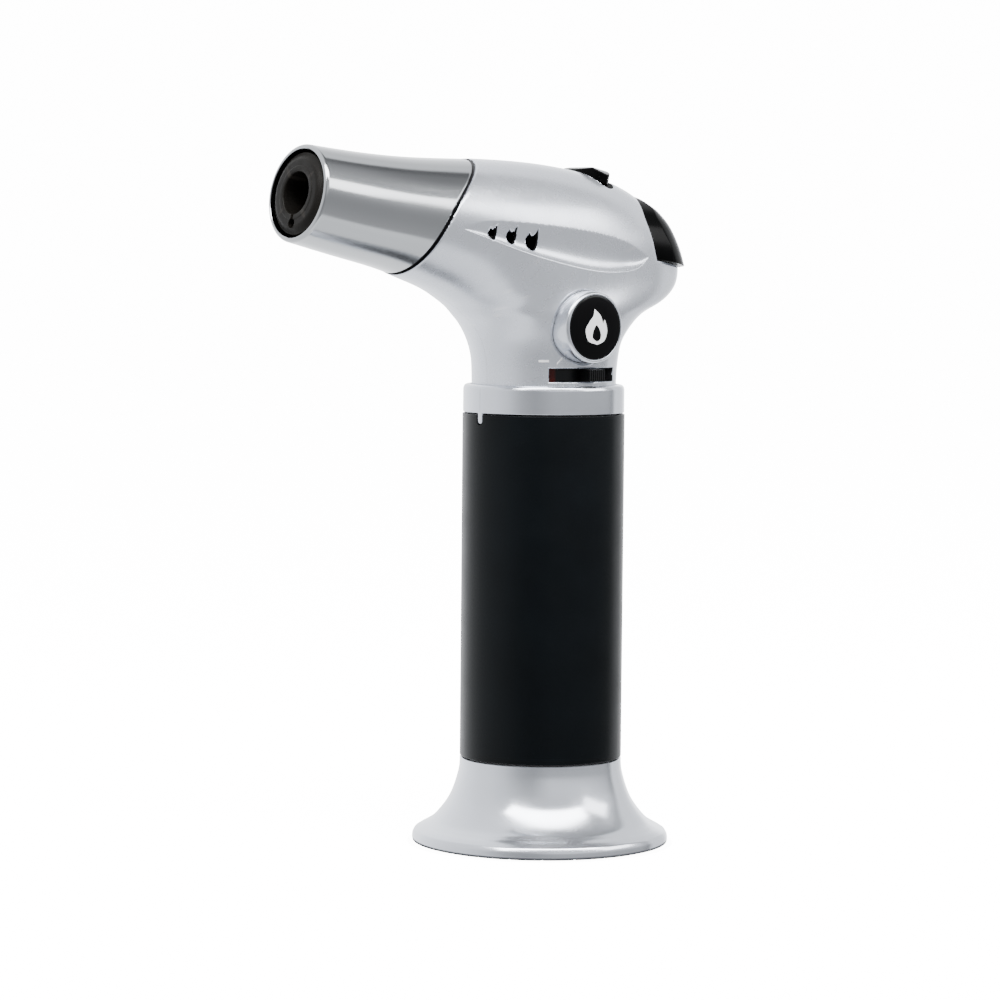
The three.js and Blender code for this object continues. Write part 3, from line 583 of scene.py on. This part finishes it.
def surface(name, color, roughness, metallic=0.0, variation=0.05, rough_variation=0.05, mottle=90, grain=2500,
            grain_depth=0.004, stretch=(1, 1, 1), turn=(0, 0, 0), wear=None, coat=0.0, coat_roughness=0.1,
            specular=0.5):
    """A procedural finish: mottled colour, uneven roughness, fine grain, and paler or darker worn edges."""
    material = bpy.data.materials.new(name)
    material.use_nodes = True
    tree = material.node_tree
    shader = tree.nodes["Principled BSDF"]
    shader.inputs["Metallic"].default_value = metallic
    shader.inputs["Coat Weight"].default_value = coat
    shader.inputs["Coat Roughness"].default_value = coat_roughness
    shader.inputs["Specular IOR Level"].default_value = specular
    dark = tuple(max(c * (1 - variation), 0) for c in color)
    pale = tuple(min(c * (1 + variation), 1) for c in color)
    tone = mixed(tree, ranged(tree, noise_node(tree, mottle, 5), 0, 1), dark, pale)
    if wear:
        pointed = tree.nodes.new("ShaderNodeNewGeometry").outputs["Pointiness"]
        worn = ranged(tree, pointed, 0, wear[1], 0.52, 0.6)
        tone = mixed(tree, worn, tone, wear[0])
    link(tree, tone, shader.inputs["Base Color"])
    smudge = noise_node(tree, mottle * 2.3, 6, stretch, turn, 0.6)
    low, high = max(roughness - rough_variation, 0.02), roughness + rough_variation
    link(tree, ranged(tree, smudge, low, high, 0.25, 0.75), shader.inputs["Roughness"])
    bump = tree.nodes.new("ShaderNodeBump")
    bump.inputs["Strength"].default_value = 1.0
    bump.inputs["Distance"].default_value = grain_depth * MM
    link(tree, noise_node(tree, grain, 2, stretch, turn), bump.inputs["Height"])
    link(tree, bump.outputs["Normal"], shader.inputs["Normal"])
    return material


SILVER = (0.62, 0.645, 0.70)
silver_head = surface("silver_head", SILVER, 0.27, metallic=0.8, variation=0.02, rough_variation=0.03,
                      grain=3200, grain_depth=0.0035, wear=((0.8, 0.8, 0.82), 0.3), coat=0.12,
                      coat_roughness=0.25)
silver_foot = surface("silver_foot", SILVER, 0.19, metallic=0.9, variation=0.02, rough_variation=0.03,
                      grain=3200, grain_depth=0.0035, wear=((0.8, 0.8, 0.82), 0.3), coat=0.12,
                      coat_roughness=0.25)
polished = surface("polished_guard", (0.43, 0.442, 0.455), 0.15, metallic=1.0, variation=0.015,
                   rough_variation=0.05, mottle=45, grain=900, grain_depth=0.003, stretch=(0.06, 1, 1),
                   turn=(0, PITCH, 0))
grip_black = surface("grip_black", (0.0016, 0.0023, 0.0031), 0.32, variation=0.25, rough_variation=0.04,
                     mottle=60, grain=2600, grain_depth=0.004, specular=0.1)
gloss_black = surface("gloss_black", (0.0005, 0.0005, 0.0006), 0.2, variation=0.2, rough_variation=0.05,
                      mottle=120, grain=1800, grain_depth=0.002, wear=((0.01, 0.01, 0.01), 0.3), specular=0.05)
epoxy_black = surface("epoxy_black", (0.0006, 0.0006, 0.0008), 0.09, variation=0.2, rough_variation=0.02,
                      mottle=50, grain=300, grain_depth=0.001, specular=0.13)
symbol_white = surface("symbol_white", (0.82, 0.82, 0.82), 0.3, variation=0.03, grain=2600, grain_depth=0.002)
rubber = surface("foot_rubber", (0.012, 0.012, 0.012), 0.8, variation=0.3, rough_variation=0.08, mottle=200,
                 grain=1500, grain_depth=0.02)
dark_metal = surface("dark_metal", (0.0055, 0.0048, 0.004), 0.5, metallic=0.15, variation=0.22,
                     rough_variation=0.1, mottle=160, grain=1400, grain_depth=0.008,
                     wear=((0.03, 0.026, 0.022), 0.4), specular=0.12)
steel = surface("steel", (0.5, 0.5, 0.51), 0.28, metallic=1.0, variation=0.06, rough_variation=0.1, mottle=220,
                grain=2200)
brass = surface("brass", (0.62, 0.42, 0.16), 0.3, metallic=1.0, variation=0.12, rough_variation=0.1, mottle=200,
                grain=2200)
tank_grey = surface("tank_grey", (0.4, 0.41, 0.43), 0.42, variation=0.06, mottle=80, grain=1200)
white_plastic = surface("white_plastic", (0.72, 0.7, 0.65), 0.45, variation=0.05, mottle=150, grain=1600)
wick = surface("wick_fibre", (0.72, 0.69, 0.62), 0.9, variation=0.15, mottle=500, grain=1800, grain_depth=0.05)
ceramic = surface("ceramic", (0.8, 0.78, 0.73), 0.18, variation=0.03, mottle=200, grain=900, coat=0.5)
red_plastic = surface("red_plastic", (0.32, 0.02, 0.015), 0.4, variation=0.1, mottle=180, grain=1600)
# Near-black for the faces the cuts leave: bare plastic, and painted shade in the parting gaps, vents, slot and
# screw holes.
shell_bare_and_shade = surface("shell_bare_and_shade", (0.01, 0.01, 0.011), 0.5, variation=0.2, mottle=150, grain=1600,
                     specular=0.2)
lead_black = surface("lead_insulation", (0.012, 0.012, 0.013), 0.55, variation=0.2, mottle=250, grain=1600)


def lever_material():
    """Black plastic, with the high-flame end of the band painted red."""
    material = surface("lever_black", (0.004, 0.004, 0.0045), 0.3, variation=0.2, mottle=150, grain=1500,
                       specular=0.25)
    tree = material.node_tree
    shader = tree.nodes["Principled BSDF"]
    split = tree.nodes.new("ShaderNodeSeparateXYZ")
    link(tree, tree.nodes.new("ShaderNodeTexCoord").outputs["Object"], split.inputs[0])
    red_from = AXIS_X - 7.6 * MM
    mask = ranged(tree, split.outputs["X"], 1, 0, red_from - 0.5 * MM, red_from + 0.2 * MM)
    plain = shader.inputs["Base Color"].links[0].from_socket
    link(tree, mixed(tree, mask, plain, (0.09, 0.006, 0.003)), shader.inputs["Base Color"])
    return material


lever_black = lever_material()
SLOT_FINISH = {
    "silver_paint_plastic": silver_head, "silver_paint_metal": silver_foot, "chrome_guard": polished,
    "black_grip": grip_black, "black_gloss": gloss_black, "badge_epoxy": epoxy_black, "black_rubber": rubber,
    "lead_insulation": lead_black, "dark_metal": dark_metal, "steel": steel, "brass": brass,
    "tank_plastic": tank_grey, "white_plastic": white_plastic, "wick_fibre": wick, "ceramic": ceramic,
    "red_plastic": red_plastic,
}
NODE_SLOT = {row["node"]: row["material_slot"] for row in frame["record"]["subparts"]}
BODY_OF = {node: body for body, nodes in frame["record"]["behaviour"]["bodies"].items() for node in nodes}
for node_name, node_object in frame["nodes"].items():
    node_object.data.materials.clear()
    node_object.data.materials.append(SLOT_FINISH[NODE_SLOT[node_name]])

# The housing halves keep silver paint outside. Where they were cut they are near-black, which stands for bare
# plastic and is partly painted shade.
PAINTED_SHELL = "painted outside, bare plastic where it was cut"


def dress(obj, node, material=None, sharp=32):
    """Finishes a piece, rides it on the body of its CAD node, and stands it in for that node."""
    if material != PAINTED_SHELL:
        obj.data.materials.clear()
        obj.data.materials.append(material or SLOT_FINISH[NODE_SLOT[node]])
    fine(obj, sharp)
    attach(obj, BODY_OF[node])
    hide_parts(node)
    return obj


def bare_and_shaded(tool):
    """Gives a cutting tool the near-black it leaves behind: bare plastic, and partly painted shade in the gaps
    and holes.
    """
    tool.data.materials.append(shell_bare_and_shade)
    return tool


# ---- foot, sleeve and collar ----
def build_grip():
    flare = smooth_curve([
        (20.62, 21.9), (20.65, 20.4), (20.83, 18.7), (21.45, 16.2), (22.3, 13.6), (23.45, 11.1), (25.15, 8.6),
        (27.35, 6.1), (29.25, 4.8), (30.8, 3.95), (32.0, 3.2),
    ], 6)
    profile = [(r, z, 0) for r, z in flare[1:]]
    profile += [
        (32.2, 2.95, 0.15), (32.62, 2.1, 0.4), (32.68, 1.1, 0.4), (32.5, 0.27, 0.3), (31.95, 0.27, 0.1),
        (31.95, 2.45, 0.1), (28.5, 2.45, 0.1), (28.5, 0.27, 0.1), (27.4, 0.27, 0.3), (27.0, 4.2, 0.8),
        (23.5, 7.0, 0.6), (20.6, 9.8, 0.6), (8.0, 9.8, 0.5), (8.0, 13.3, 0), (19.1, 13.3, 0),
        (19.1, 21.85, 0.1), (20.35, 21.85, 0.1),
    ]
    dress(lathe("foot", profile, radius=0, segments=192), "base_foot")

    pad = [(28.8, 0.0), (31.6, 0.0), (31.6, 2.2), (28.8, 2.2)]
    ring = lathe("foot_pad", pad, radius=0.35, segments=160)
    for k in range(24):
        turn = Matrix.Rotation(2 * math.pi * (k + 0.5) / 24, 4, "Z")
        cut(ring, cuboid("groove", (28, -0.35, -1), (33, 0.35, 0.35), turn))
    dress(ring, "foot_pad_ring")

    profile = [(19.25, 22.2), (20.65, 22.2), (20.65, 109.6), (19.25, 109.6)]
    sleeve = lathe("grip_sleeve", profile, radius=0.25, segments=192)
    cut(sleeve, pill("notch", 1.12, 106.95, 112, -23, -17))
    dress(sleeve, "tank_sleeve")

    profile = [
        (18.75, 109.9), (20.5, 109.9, 0.3), (20.5, 115.9, 0.25), (20.22, 116.7, 0.35), (19.6, 117.05, 0.35),
        (18.75, 117.05, 0.1),
    ]
    collar = lathe("collar", profile, radius=0.1, segments=192, steps=6)
    key = pill("key", 0.97, 107.2, 111, -20.48, -19.4)
    bevel = key.modifiers.new("round", "BEVEL")
    bevel.width, bevel.segments, bevel.limit_method = 0.3 * MM, 3, "ANGLE"
    union(collar, applied(key))
    cut(collar, cuboid("seam", (-22, -0.04, 110.5), (-20.42, 0.04, 117.5)))
    dress(collar, "collar_ring")


# ---- refill valve and the valve springs ----
def shorten(node):
    """Gives a valve spring's CAD node a mesh of its own."""
    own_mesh(frame["nodes"][node])


def build_valves():
    body = [
        (1.25, 9.6), (2.9, 9.6), (2.9, 11.2), (5.2, 11.2), (5.2, 12.5), (3.2, 12.5), (3.2, 21), (1.25, 21),
        (1.25, 19.6), (2.1, 19.6), (2.1, 10.9), (1.25, 10.9),
    ]
    dress(lathe("refill_valve", body, radius=0.15, segments=64), "refill_valve_body")
    stem = [
        (0, 8.9), (0.95, 8.9), (0.95, 11.2), (1.8, 11.2), (1.8, 12.2), (0.95, 12.2), (0.95, 20.4), (0, 20.4),
    ]
    dress(lathe("refill_stem", stem, radius=0.12, segments=40), "refill_valve_stem")
    shorten("refill_valve_spring")
    shorten("outlet_valve_spring")


# ---- flame adjuster ----
def build_flame_adjuster():
    low, high = SLOT_Z - 1.0, SLOT_Z + 1.0
    lever = lathe("flame_lever", [(6.2, 114), (8.2, 114), (8.2, high), (6.2, high)], radius=0.2, segments=64)
    union(lever, prism("fan", sector(8, 15.6, -20, 20), low, high))
    union(lever, prism("band", sector(15, 16.0, -58, 58, 40), SLOT_Z - 2.1, SLOT_Z + 2.1))
    tab = prism("tab", sector(15.5, 21.4, -6.5, 6.5, 12), SLOT_Z - 1.4, SLOT_Z + 1.4)
    for k in range(-3, 4):
        turn = Matrix.Rotation(math.radians(k * 1.75), 4, "Z")
        cut(tab, cuboid("groove", (-0.14, -22, SLOT_Z - 2), (0.14, -21.15, SLOT_Z + 2), turn))
    union(lever, tab)
    dress(lever, "flame_adjust_lever", lever_black, sharp=25)


# ---- housing ----
def build_housing():
    outer = head_solid("housing", 0, 0, 17.6, 150, 150, housing_edges, (2.0, 1.0, 0.5), with_leaf=True)
    outer.data.materials.append(silver_head)
    # Each cut below leaves near-black faces: bare plastic, partly painted shade.
    cut(outer, bare_and_shaded(head_solid("hollow", WALL, -0.5, 18.5, 40, 40)))
    cut(outer, bare_and_shaded(side_prism("front", PARTING_HOUSING, -30, 30)))
    cut(outer, bare_and_shaded(prism("window", WINDOW, -22, 15, PUSH)))
    cut(outer, bare_and_shaded(prism("pocket", POCKET, -5, 5, SLIDE)))
    for outline in VENT_OUTLINES:
        cut(outer, bare_and_shaded(side_prism("vent", outline, -26, -9)), bare_and_shaded(side_prism("vent", outline, 9, 26)))
    right = duplicate(outer, "housing_far")
    left = outer
    left.name = "housing_near"
    common(left, bare_and_shaded(cuboid("near", (-60, -30, 100), (60, -0.02, 190))))
    common(right, bare_and_shaded(cuboid("far", (-60, 0.02, 100), (60, 30, 190))))
    half = SLOT_HEIGHT / 2
    cut(left, bare_and_shaded(prism("slot", sector(14, 22, SLOT_FROM, SLOT_TO), SLOT_Z - half, SLOT_Z + half)))
    cut(left, prism("button_hole", circle(0, 0, BUTTON_RADIUS + 0.15, 96), -26, -8, BUTTON))
    core = head_solid("core", 0.8, 0, 17.4, 40, 40)
    cut(core, side_prism("front", ahead_of_parting(0.8), -30, 30))
    for x, z in SCREWS:
        place = Matrix.Translation((x, 0, z)) @ SIDE
        post = bare_and_shaded(prism("post", circle(0, 0, 3.6, 48), 0.15, 20, place))
        combine(post, core, "INTERSECT", keep=True)
        union(right, post)
        cut(right, bare_and_shaded(prism("clearance", circle(0, 0, 1.5, 32), -1, SCREW_SEAT + 1, place)))
        cut(right, bare_and_shaded(prism("counterbore", circle(0, 0, SCREW_HEAD_ROOM, 48), SCREW_SEAT, 22, place)))
    bpy.data.objects.remove(core)
    dress(left, "housing_left", PAINTED_SHELL, 38)
    dress(right, "housing_right", PAINTED_SHELL, 38)

    under, top = SCREW_SEAT + GAP, SCREW_SEAT + 1.9
    profile = [(0, -6.5), (1.1, -6.5), (1.1, under), (2.4, under), (2.4, top, 0.5), (0, top)]
    for i, (x, z) in enumerate(SCREWS):
        place = Matrix.Translation((x, 0, z)) @ SIDE @ Matrix.Rotation(0.35 * i, 4, "Z")
        screw = lathe("case_screw_%d" % (i + 1), profile, place, radius=0.1, segments=48)
        cut(screw, cuboid("recess", (-1.3, -0.3, top - 0.9), (1.3, 0.3, top + 1), place))
        cut(screw, cuboid("recess", (-0.3, -1.3, top - 0.9), (0.3, 1.3, top + 1), place))
        dress(screw, "housing_screw_%d" % (i + 1))


# ---- flame guard and burner ----
def build_barrel():
    guard = head_solid("guard", 0.15, 14.4, TIP_STATION, 90, 160, guard_edges, (2.0, 1.0, 0.5))
    cut(guard, head_solid("bore", 1.25, 14, TIP_STATION + 0.6, 60, 120))
    common(guard, side_prism("front", PARTING_GUARD, -30, 30))
    cone = [(0, -0.2), (10.85, -0.2), (11.25, 0.2), (0, 0.2)]
    cut(guard, lathe("chamfer", cone, BARREL, radius=0, segments=128))
    dress(guard, "flame_guard", sharp=38)

    face = 0.35
    profile = [
        (5.2, face - 13), (10.15, face - 13), (10.15, face - 1.2, 0.4), (9.7, face - 1.1, 0.5),
        (8.4, face - 0.08, 0.6), (6.6, face - 0.08), (6.5, face), (5.2, face, 0.45),
    ]
    insert = lathe("nozzle_ring", profile, BARREL, radius=0.1, segments=128)
    cut(insert, prism("keyhole", circle(-7.4, 0, 1.25, 32), face - 6, 1, BARREL))
    cut(insert, cuboid("keyway", (-7.4, -0.55, face - 6), (-4.5, 0.55, 1), BARREL))
    dress(insert, "nozzle_insert")

    tube = lathe("burner_tube", [(4.2, -44), (5.0, -44), (5.0, -7), (4.2, -7)], BARREL, radius=0.2, segments=72)
    dress(tube, "mixing_tube", dark_metal)
    disc = lathe("flame_disc", [(0, -13), (3.9, -13), (3.9, -11), (0, -11)], BARREL, radius=0.25, segments=64)
    cut(disc, prism("jet", circle(0, 0, 0.8, 24), -14, -10, BARREL))
    for k in range(6):
        a = k / 6 * 2 * math.pi
        cut(disc, prism("jet", circle(2.5 * math.cos(a), 2.5 * math.sin(a), 0.55, 20), -14, -10, BARREL))
    dress(disc, "flame_holder")


# ---- moulded black controls ----
def softened(obj, voxel, passes):
    """Remeshes a moulded part so that its edges are slightly rounded."""
    remesh = obj.modifiers.new("remesh", "REMESH")
    remesh.mode, remesh.voxel_size = "VOXEL", voxel * MM
    smooth = obj.modifiers.new("smooth", "SMOOTH")
    smooth.factor, smooth.iterations = 0.5, passes
    return applied(obj)


def build_trigger():
    side = TRIGGER_HALF_WIDTH
    room = side - TRIGGER_WALL
    outer = union(pad_solid("trigger_cap", 0), cuboid("sides", (8, -side, 143), (27, side, 169.5)))
    common(outer, prism("arch", trigger_outline(0, 48), -20, 8, PUSH))
    inner = union(pad_solid("room", TRIGGER_WALL), cuboid("room_sides", (0, -room, 143), (26, room, 167)))
    common(inner, prism("arch", trigger_outline(-TRIGGER_WALL, 48), -20, 20, PUSH))
    cut(outer, inner)
    softened(outer, 0.2, 6)
    arm = lathe("pusher", [(0, -7.3), (2.6, -7.3), (2.6, -1), (0, -1)], PUSH, radius=0.2, segments=40)
    union(outer, arm)
    union(outer, cuboid("arm", (-7.3, 3, -4), (-5.2, 5.2, 32.9), PUSH))
    dress(outer, "trigger", sharp=40)


def build_slider():
    profile = [
        (-5, -2.8), (-5, -0.3), (-4.4, 0.4), (-2.8, 1.15), (-0.8, 1.6), (1, 1.75), (2.6, 1.7), (3, 1.3),
        (3, -2.8),
    ]
    place = SLIDE @ SIDE
    rise = prism("slider", [(x, -z) for x, z in profile], -9, 9, place)
    common(rise, prism("oval", oval(4.7, 8.9), -4, 4, SLIDE))
    common(rise, prism("oval", oval(4.7, 8.9, -SLIDER_TRAVEL), -4, 4, SLIDE))
    crown = [(18 * math.sin(a), 18 * math.cos(a) - 16.25) for a in np.linspace(-0.7, 0.7, 65)]
    across = Matrix.Rotation(math.pi / 2, 4, "Z") @ Matrix.Rotation(math.pi / 2, 4, "X")
    common(rise, prism("crown", [*crown, (11.5, -8), (-11.5, -8)], -12, 12, SLIDE @ across))
    softened(rise, 0.12, 5)
    dress(rise, "safety_slider", sharp=40)


# ---- round lock button with its badge ----
def build_button():
    face = BUTTON_FACE
    cup = [
        (0, face), (8.15, face, 0.05), (8.15, face - 0.4, 0.12), (8.5, face - 0.4, 0.2),
        (BUTTON_RADIUS, face + 0.1, 0.3), (BUTTON_RADIUS, -14), (7.6, -14), (7.6, face + 1.6),
        (2.2, face + 1.6), (2.2, -5), (0, -5),
    ]
    dress(lathe("lock_cap", cup, BUTTON, radius=0.12, segments=160), "lock_button")
    dome = smooth_curve([
        (0, face - 0.98), (3, face - 0.92), (5.6, face - 0.76), (7.2, face - 0.58), (7.85, face - 0.45),
        (8.0, face - 0.3),
    ], 6)
    profile = [(r, z, 0) for r, z in dome] + [(8.0, face - 0.05, 0), (0, face - 0.05, 0)]
    dress(lathe("badge", profile, BUTTON, radius=0, segments=128), "badge_dome")

    # A plain flame pictogram, laid on the dome.
    left = [(0.2, -4.3), (-2.6, -3.3), (-3.5, -0.6), (-2.2, 1.6), (-1.1, 2.9), (-0.7, 4.6)]
    right = [(-0.7, 4.6), (1.2, 3.0), (2.0, 1.0), (2.5, 1.9), (3.2, 0.2), (3.3, -1.4), (2.4, -3.4), (0.2, -4.3)]
    outline = [*smooth_curve(left, 8)[:-1], *smooth_curve(right, 8)[:-1]]
    inner = [
        (0.1, -3.5), (-1.2, -2.7), (-1.2, -1.2), (-0.2, 0.6), (0.9, -0.5), (1.4, -2.0), (1.0, -3.1),
        (0.1, -3.5),
    ]
    symbol = prism("badge_symbol", [(x, -z) for x, z in outline], face - 2, face - 0.5, BUTTON)
    cut(symbol, prism("inner", [(x, -z) for x, z in smooth_curve(inner, 8)[:-1]], face - 3, face, BUTTON))
    shell = [(r, z - 0.03, 0) for r, z in dome]
    under = [(r, z + 0.05, 0) for r, z in reversed(list(dome))]
    common(symbol, lathe("skin", [*shell, *under], BUTTON, radius=0, segments=96))
    symbol.data.materials.clear()
    symbol.data.materials.append(symbol_white)
    fine(symbol)
    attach(symbol, "lock_button")


def neck_point(angle, z, raised):
    """Point on the neck's surface, at that angle from -Y towards +X."""
    u = np.linspace(0, 6, 601)
    heights = head_points(u, np.zeros(len(u)), -np.ones(len(u)), 0, False)[:, 2]
    at = float(np.interp(z, heights, u))
    turn = np.radians(np.linspace(180, 360, 1801))
    ring = head_points(np.full(len(turn), at), np.cos(turn), np.sin(turn), 0, False)
    seen = np.degrees(np.arctan2(ring[:, 0], -ring[:, 1]))
    x = float(np.interp(angle, seen, ring[:, 0]))
    y = float(np.interp(angle, seen, ring[:, 1]))
    out = 1 + raised / math.hypot(x, y)
    return x * out, y * out, z


def build_print_marks():
    """Dash and tick printed beside the flame adjuster's slot."""
    steps = 8
    marks = [("mark_dash", (-43, 123.3), (-35, 123.3), 0.55), ("mark_tick", (-29, 122.6), (-24.6, 124.2), 0.42)]
    for name, (a0, z0), (a1, z1), width in marks:
        verts, faces = [], []
        for k in range(steps + 1):
            a, z = a0 + (a1 - a0) * k / steps, z0 + (z1 - z0) * k / steps
            for dz, lift in ((-width / 2, 0.03), (width / 2, 0.03), (width / 2, -0.05), (-width / 2, -0.05)):
                verts.append(neck_point(a, z + dz, lift))
        for k in range(steps):
            for s in range(4):
                n = (s + 1) % 4
                faces.append([4 * k + s, 4 * k + n, 4 * k + 4 + n, 4 * k + 4 + s])
        faces += [[0, 1, 2, 3], [4 * steps + i for i in range(4)]]
        mark = new_object(name, verts, faces)
        mark.data.materials.append(symbol_white)
        fine(mark)
        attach(mark, BODY)


build_grip()
build_valves()
build_flame_adjuster()
build_housing()
build_barrel()
build_trigger()
build_slider()
build_button()
build_print_marks()


# ---- stage, light and camera ----
FLOOR_GLOW = 14.0
WORLD_STRENGTH = 4.0
CONTACT_RADIUS, CONTACT_HEIGHT = 0.034, 0.00005  # in metres
CAMERA_AZIMUTH, CAMERA_DISTANCE, CAMERA_HEIGHT = 38.782, 910.34, 149.13
CAMERA_YAW, CAMERA_PITCH, CAMERA_ROLL, CAMERA_LENS = 0.6847, 3.8837, 0.5129, 128.988


def build_stage():
    """Pale floor that curves up into a backdrop all round. It is hidden from reflections and bounced light,
    which meet the world instead."""
    rows = smooth_curve([(0.0, 0.0), (2.2, 0.0), (3.2, 0.05), (4.4, 0.7), (5.2, 2.2), (5.4, 4.4)], 8)
    segments = 96
    verts, faces = [(0, 0, 0)], []
    for r, z in rows[1:]:
        turn = [2 * math.pi * k / segments for k in range(segments)]
        verts += [(r * math.cos(a), r * math.sin(a), z) for a in turn]
    for k in range(segments):
        n = (k + 1) % segments
        faces.append([0, 1 + k, 1 + n])
        for i in range(len(rows) - 2):
            a = 1 + i * segments
            faces.append([a + k, a + segments + k, a + segments + n, a + n])
    mesh = bpy.data.meshes.new("stage")
    mesh.from_pydata(verts, [], faces)
    mesh.shade_smooth()
    stage = bpy.data.objects.new("stage", mesh)
    stage.location.x = AXIS_X
    bpy.context.scene.collection.objects.link(stage)
    material = bpy.data.materials.new("pale_floor")
    material.use_nodes = True
    shader = material.node_tree.nodes["Principled BSDF"]
    shader.inputs["Base Color"].default_value = (0.9, 0.9, 0.9, 1)
    shader.inputs["Roughness"].default_value = 0.9
    shader.inputs["Emission Color"].default_value = (1, 1, 1, 1)
    shader.inputs["Emission Strength"].default_value = FLOOR_GLOW
    mesh.materials.append(material)
    stage.visible_glossy = False
    stage.visible_diffuse = False


def build_contact():
    """A dark disc under the foot, hidden from the camera: the table that the torch itself shades."""
    turn = np.linspace(0, 2 * math.pi, 64, endpoint=False)
    mesh = bpy.data.meshes.new("contact")
    rim = [(CONTACT_RADIUS * math.cos(a), CONTACT_RADIUS * math.sin(a), CONTACT_HEIGHT) for a in turn]
    mesh.from_pydata(rim, [], [list(range(len(rim)))])
    contact = bpy.data.objects.new("contact", mesh)
    contact.location.x = AXIS_X
    bpy.context.scene.collection.objects.link(contact)
    mesh.materials.append(surface("contact_dark", (0.03, 0.03, 0.032), 0.9, specular=0.1))
    contact.visible_camera = False


def area_light(name, azimuth, elevation, distance, size, power):
    """A soft panel facing the torch. Azimuth 0 is at -Y, turning towards +X."""
    a, e = math.radians(azimuth), math.radians(elevation)
    back = Vector((math.sin(a) * math.cos(e), -math.cos(a) * math.cos(e), math.sin(e)))
    lamp = bpy.data.lights.new(name, "AREA")
    lamp.shape, lamp.size, lamp.size_y = "RECTANGLE", *size
    lamp.energy = power
    made = bpy.data.objects.new(name, lamp)
    made.location = Vector((AXIS_X, 0, 0.1)) + back * distance
    made.rotation_mode = "QUATERNION"
    made.rotation_quaternion = (-back).to_track_quat("-Z", "Y")
    bpy.context.scene.collection.objects.link(made)


# Brightness of the surroundings. FRONT_WALL goes by the sine of the elevation, the others by how far a
# direction points away from the camera, from -1 to 1. BACKDROP_EDGE dims the front wall, and at BRIGHTEST
# it leaves it as it is.
FRONT_WALL = [
    (-1.0, 0.36), (-0.6, 0.42), (-0.3, 0.36), (-0.1, 0.35), (0.04, 0.38), (0.16, 0.5), (0.32, 0.8),
    (0.48, 0.66), (0.64, 0.5), (0.74, 0.38), (0.8, 0.24), (1.0, 0.18),
]
BACKDROP_EDGE = [(-1.0, 2.3), (0.25, 2.3), (0.36, 1.5), (0.43, 0.9), (0.47, 0.5), (1.0, 0.5)]
BACKDROP = [(-1.0, 0.8), (0.5, 0.95), (0.7, 0.85), (0.88, 1.0), (0.96, 2.2), (1.0, 2.3)]
LEFT_SIDE = [(-1.0, 0.22), (-0.85, 0.34), (-0.6, 0.7), (-0.3, 0.9), (0.1, 1.0), (0.5, 1.25), (1.0, 1.8)]
TABLE = [(-1.0, 1.15), (-0.35, 1.1), (-0.2, 0.95), (0.1, 0.95), (0.4, 1.25), (1.0, 1.35)]
BACKWARD = (0.62, 0.785, 0.0)
RIGHTWARD = (0.785, -0.62, 0.0)
BRIGHTEST = 2.3


def dot(tree, vector, direction):
    node = tree.nodes.new("ShaderNodeVectorMath")
    node.operation = "DOT_PRODUCT"
    link(tree, vector, node.inputs[0])
    node.inputs[1].default_value = direction
    return node.outputs["Value"]


def brightness(tree, value, stops):
    node = tree.nodes.new("ShaderNodeValToRGB")
    ramp = node.color_ramp
    while len(ramp.elements) > 1:
        ramp.elements.remove(ramp.elements[0])
    for i, (at, level) in enumerate(stops):
        stop = ramp.elements[0] if i == 0 else ramp.elements.new((at + 1) / 2)
        stop.position = (at + 1) / 2
        level /= BRIGHTEST
        stop.color = (level * 0.955, level * 0.972, level, 1)
    link(tree, ranged(tree, value, 0, 1, -1, 1), node.inputs["Fac"])
    return node.outputs["Color"]


def build_world():
    """Studio surroundings, hidden from the camera by the stage: a bright backdrop and table, a dim wall on the
    camera's side with a paler band above eye level, and a left side that brightens towards the backdrop."""
    world = bpy.data.worlds.new("studio")
    world.use_nodes = True
    tree = world.node_tree
    background = tree.nodes["Background"]
    background.inputs["Strength"].default_value = WORLD_STRENGTH
    direction = tree.nodes.new("ShaderNodeTexCoord").outputs["Generated"]
    back, side, up = (dot(tree, direction, d) for d in (BACKWARD, RIGHTWARD, (0, 0, 1)))
    front = mixed(tree, brightness(tree, back, BACKDROP_EDGE), (0, 0, 0), brightness(tree, up, FRONT_WALL))
    right = mixed(tree, ranged(tree, back, 0, 1, 0.46, 0.5), front, brightness(tree, back, BACKDROP))
    walls = mixed(tree, ranged(tree, side, 0, 1, -0.2, 0.25), brightness(tree, back, LEFT_SIDE), right)
    whole = mixed(tree, ranged(tree, up, 0, 1, -0.68, -0.645), brightness(tree, back, TABLE), walls)
    link(tree, whole, background.inputs["Color"])
    bpy.context.scene.world = world


def build_camera():
    azimuth = math.radians(CAMERA_AZIMUTH)
    heading = azimuth - math.radians(CAMERA_YAW)
    camera = bpy.data.cameras.new("camera")
    camera.lens, camera.sensor_width = CAMERA_LENS, 36
    camera.clip_start, camera.clip_end = 0.05, 50
    made = bpy.data.objects.new("camera", camera)
    turn = Matrix.Rotation(-heading, 4, "Z") @ Matrix.Rotation(math.pi / 2 - math.radians(CAMERA_PITCH), 4, "X")
    turn = turn @ Matrix.Rotation(math.radians(CAMERA_ROLL), 4, "Z")
    x, y = -math.sin(azimuth) * CAMERA_DISTANCE, -math.cos(azimuth) * CAMERA_DISTANCE
    place = Vector((x, y, CAMERA_HEIGHT)) * MM
    made.matrix_world = Matrix.Translation(place + Vector((AXIS_X, 0, 0))) @ turn
    bpy.context.scene.collection.objects.link(made)
    bpy.context.scene.camera = made


build_stage()
build_contact()
area_light("high_softbox", -28, 57, 1.2, (2.0, 0.5), 50)
area_light("right_softbox", 43, 27.5, 0.73, (0.45, 0.22), 1.9)
build_world()
build_camera()
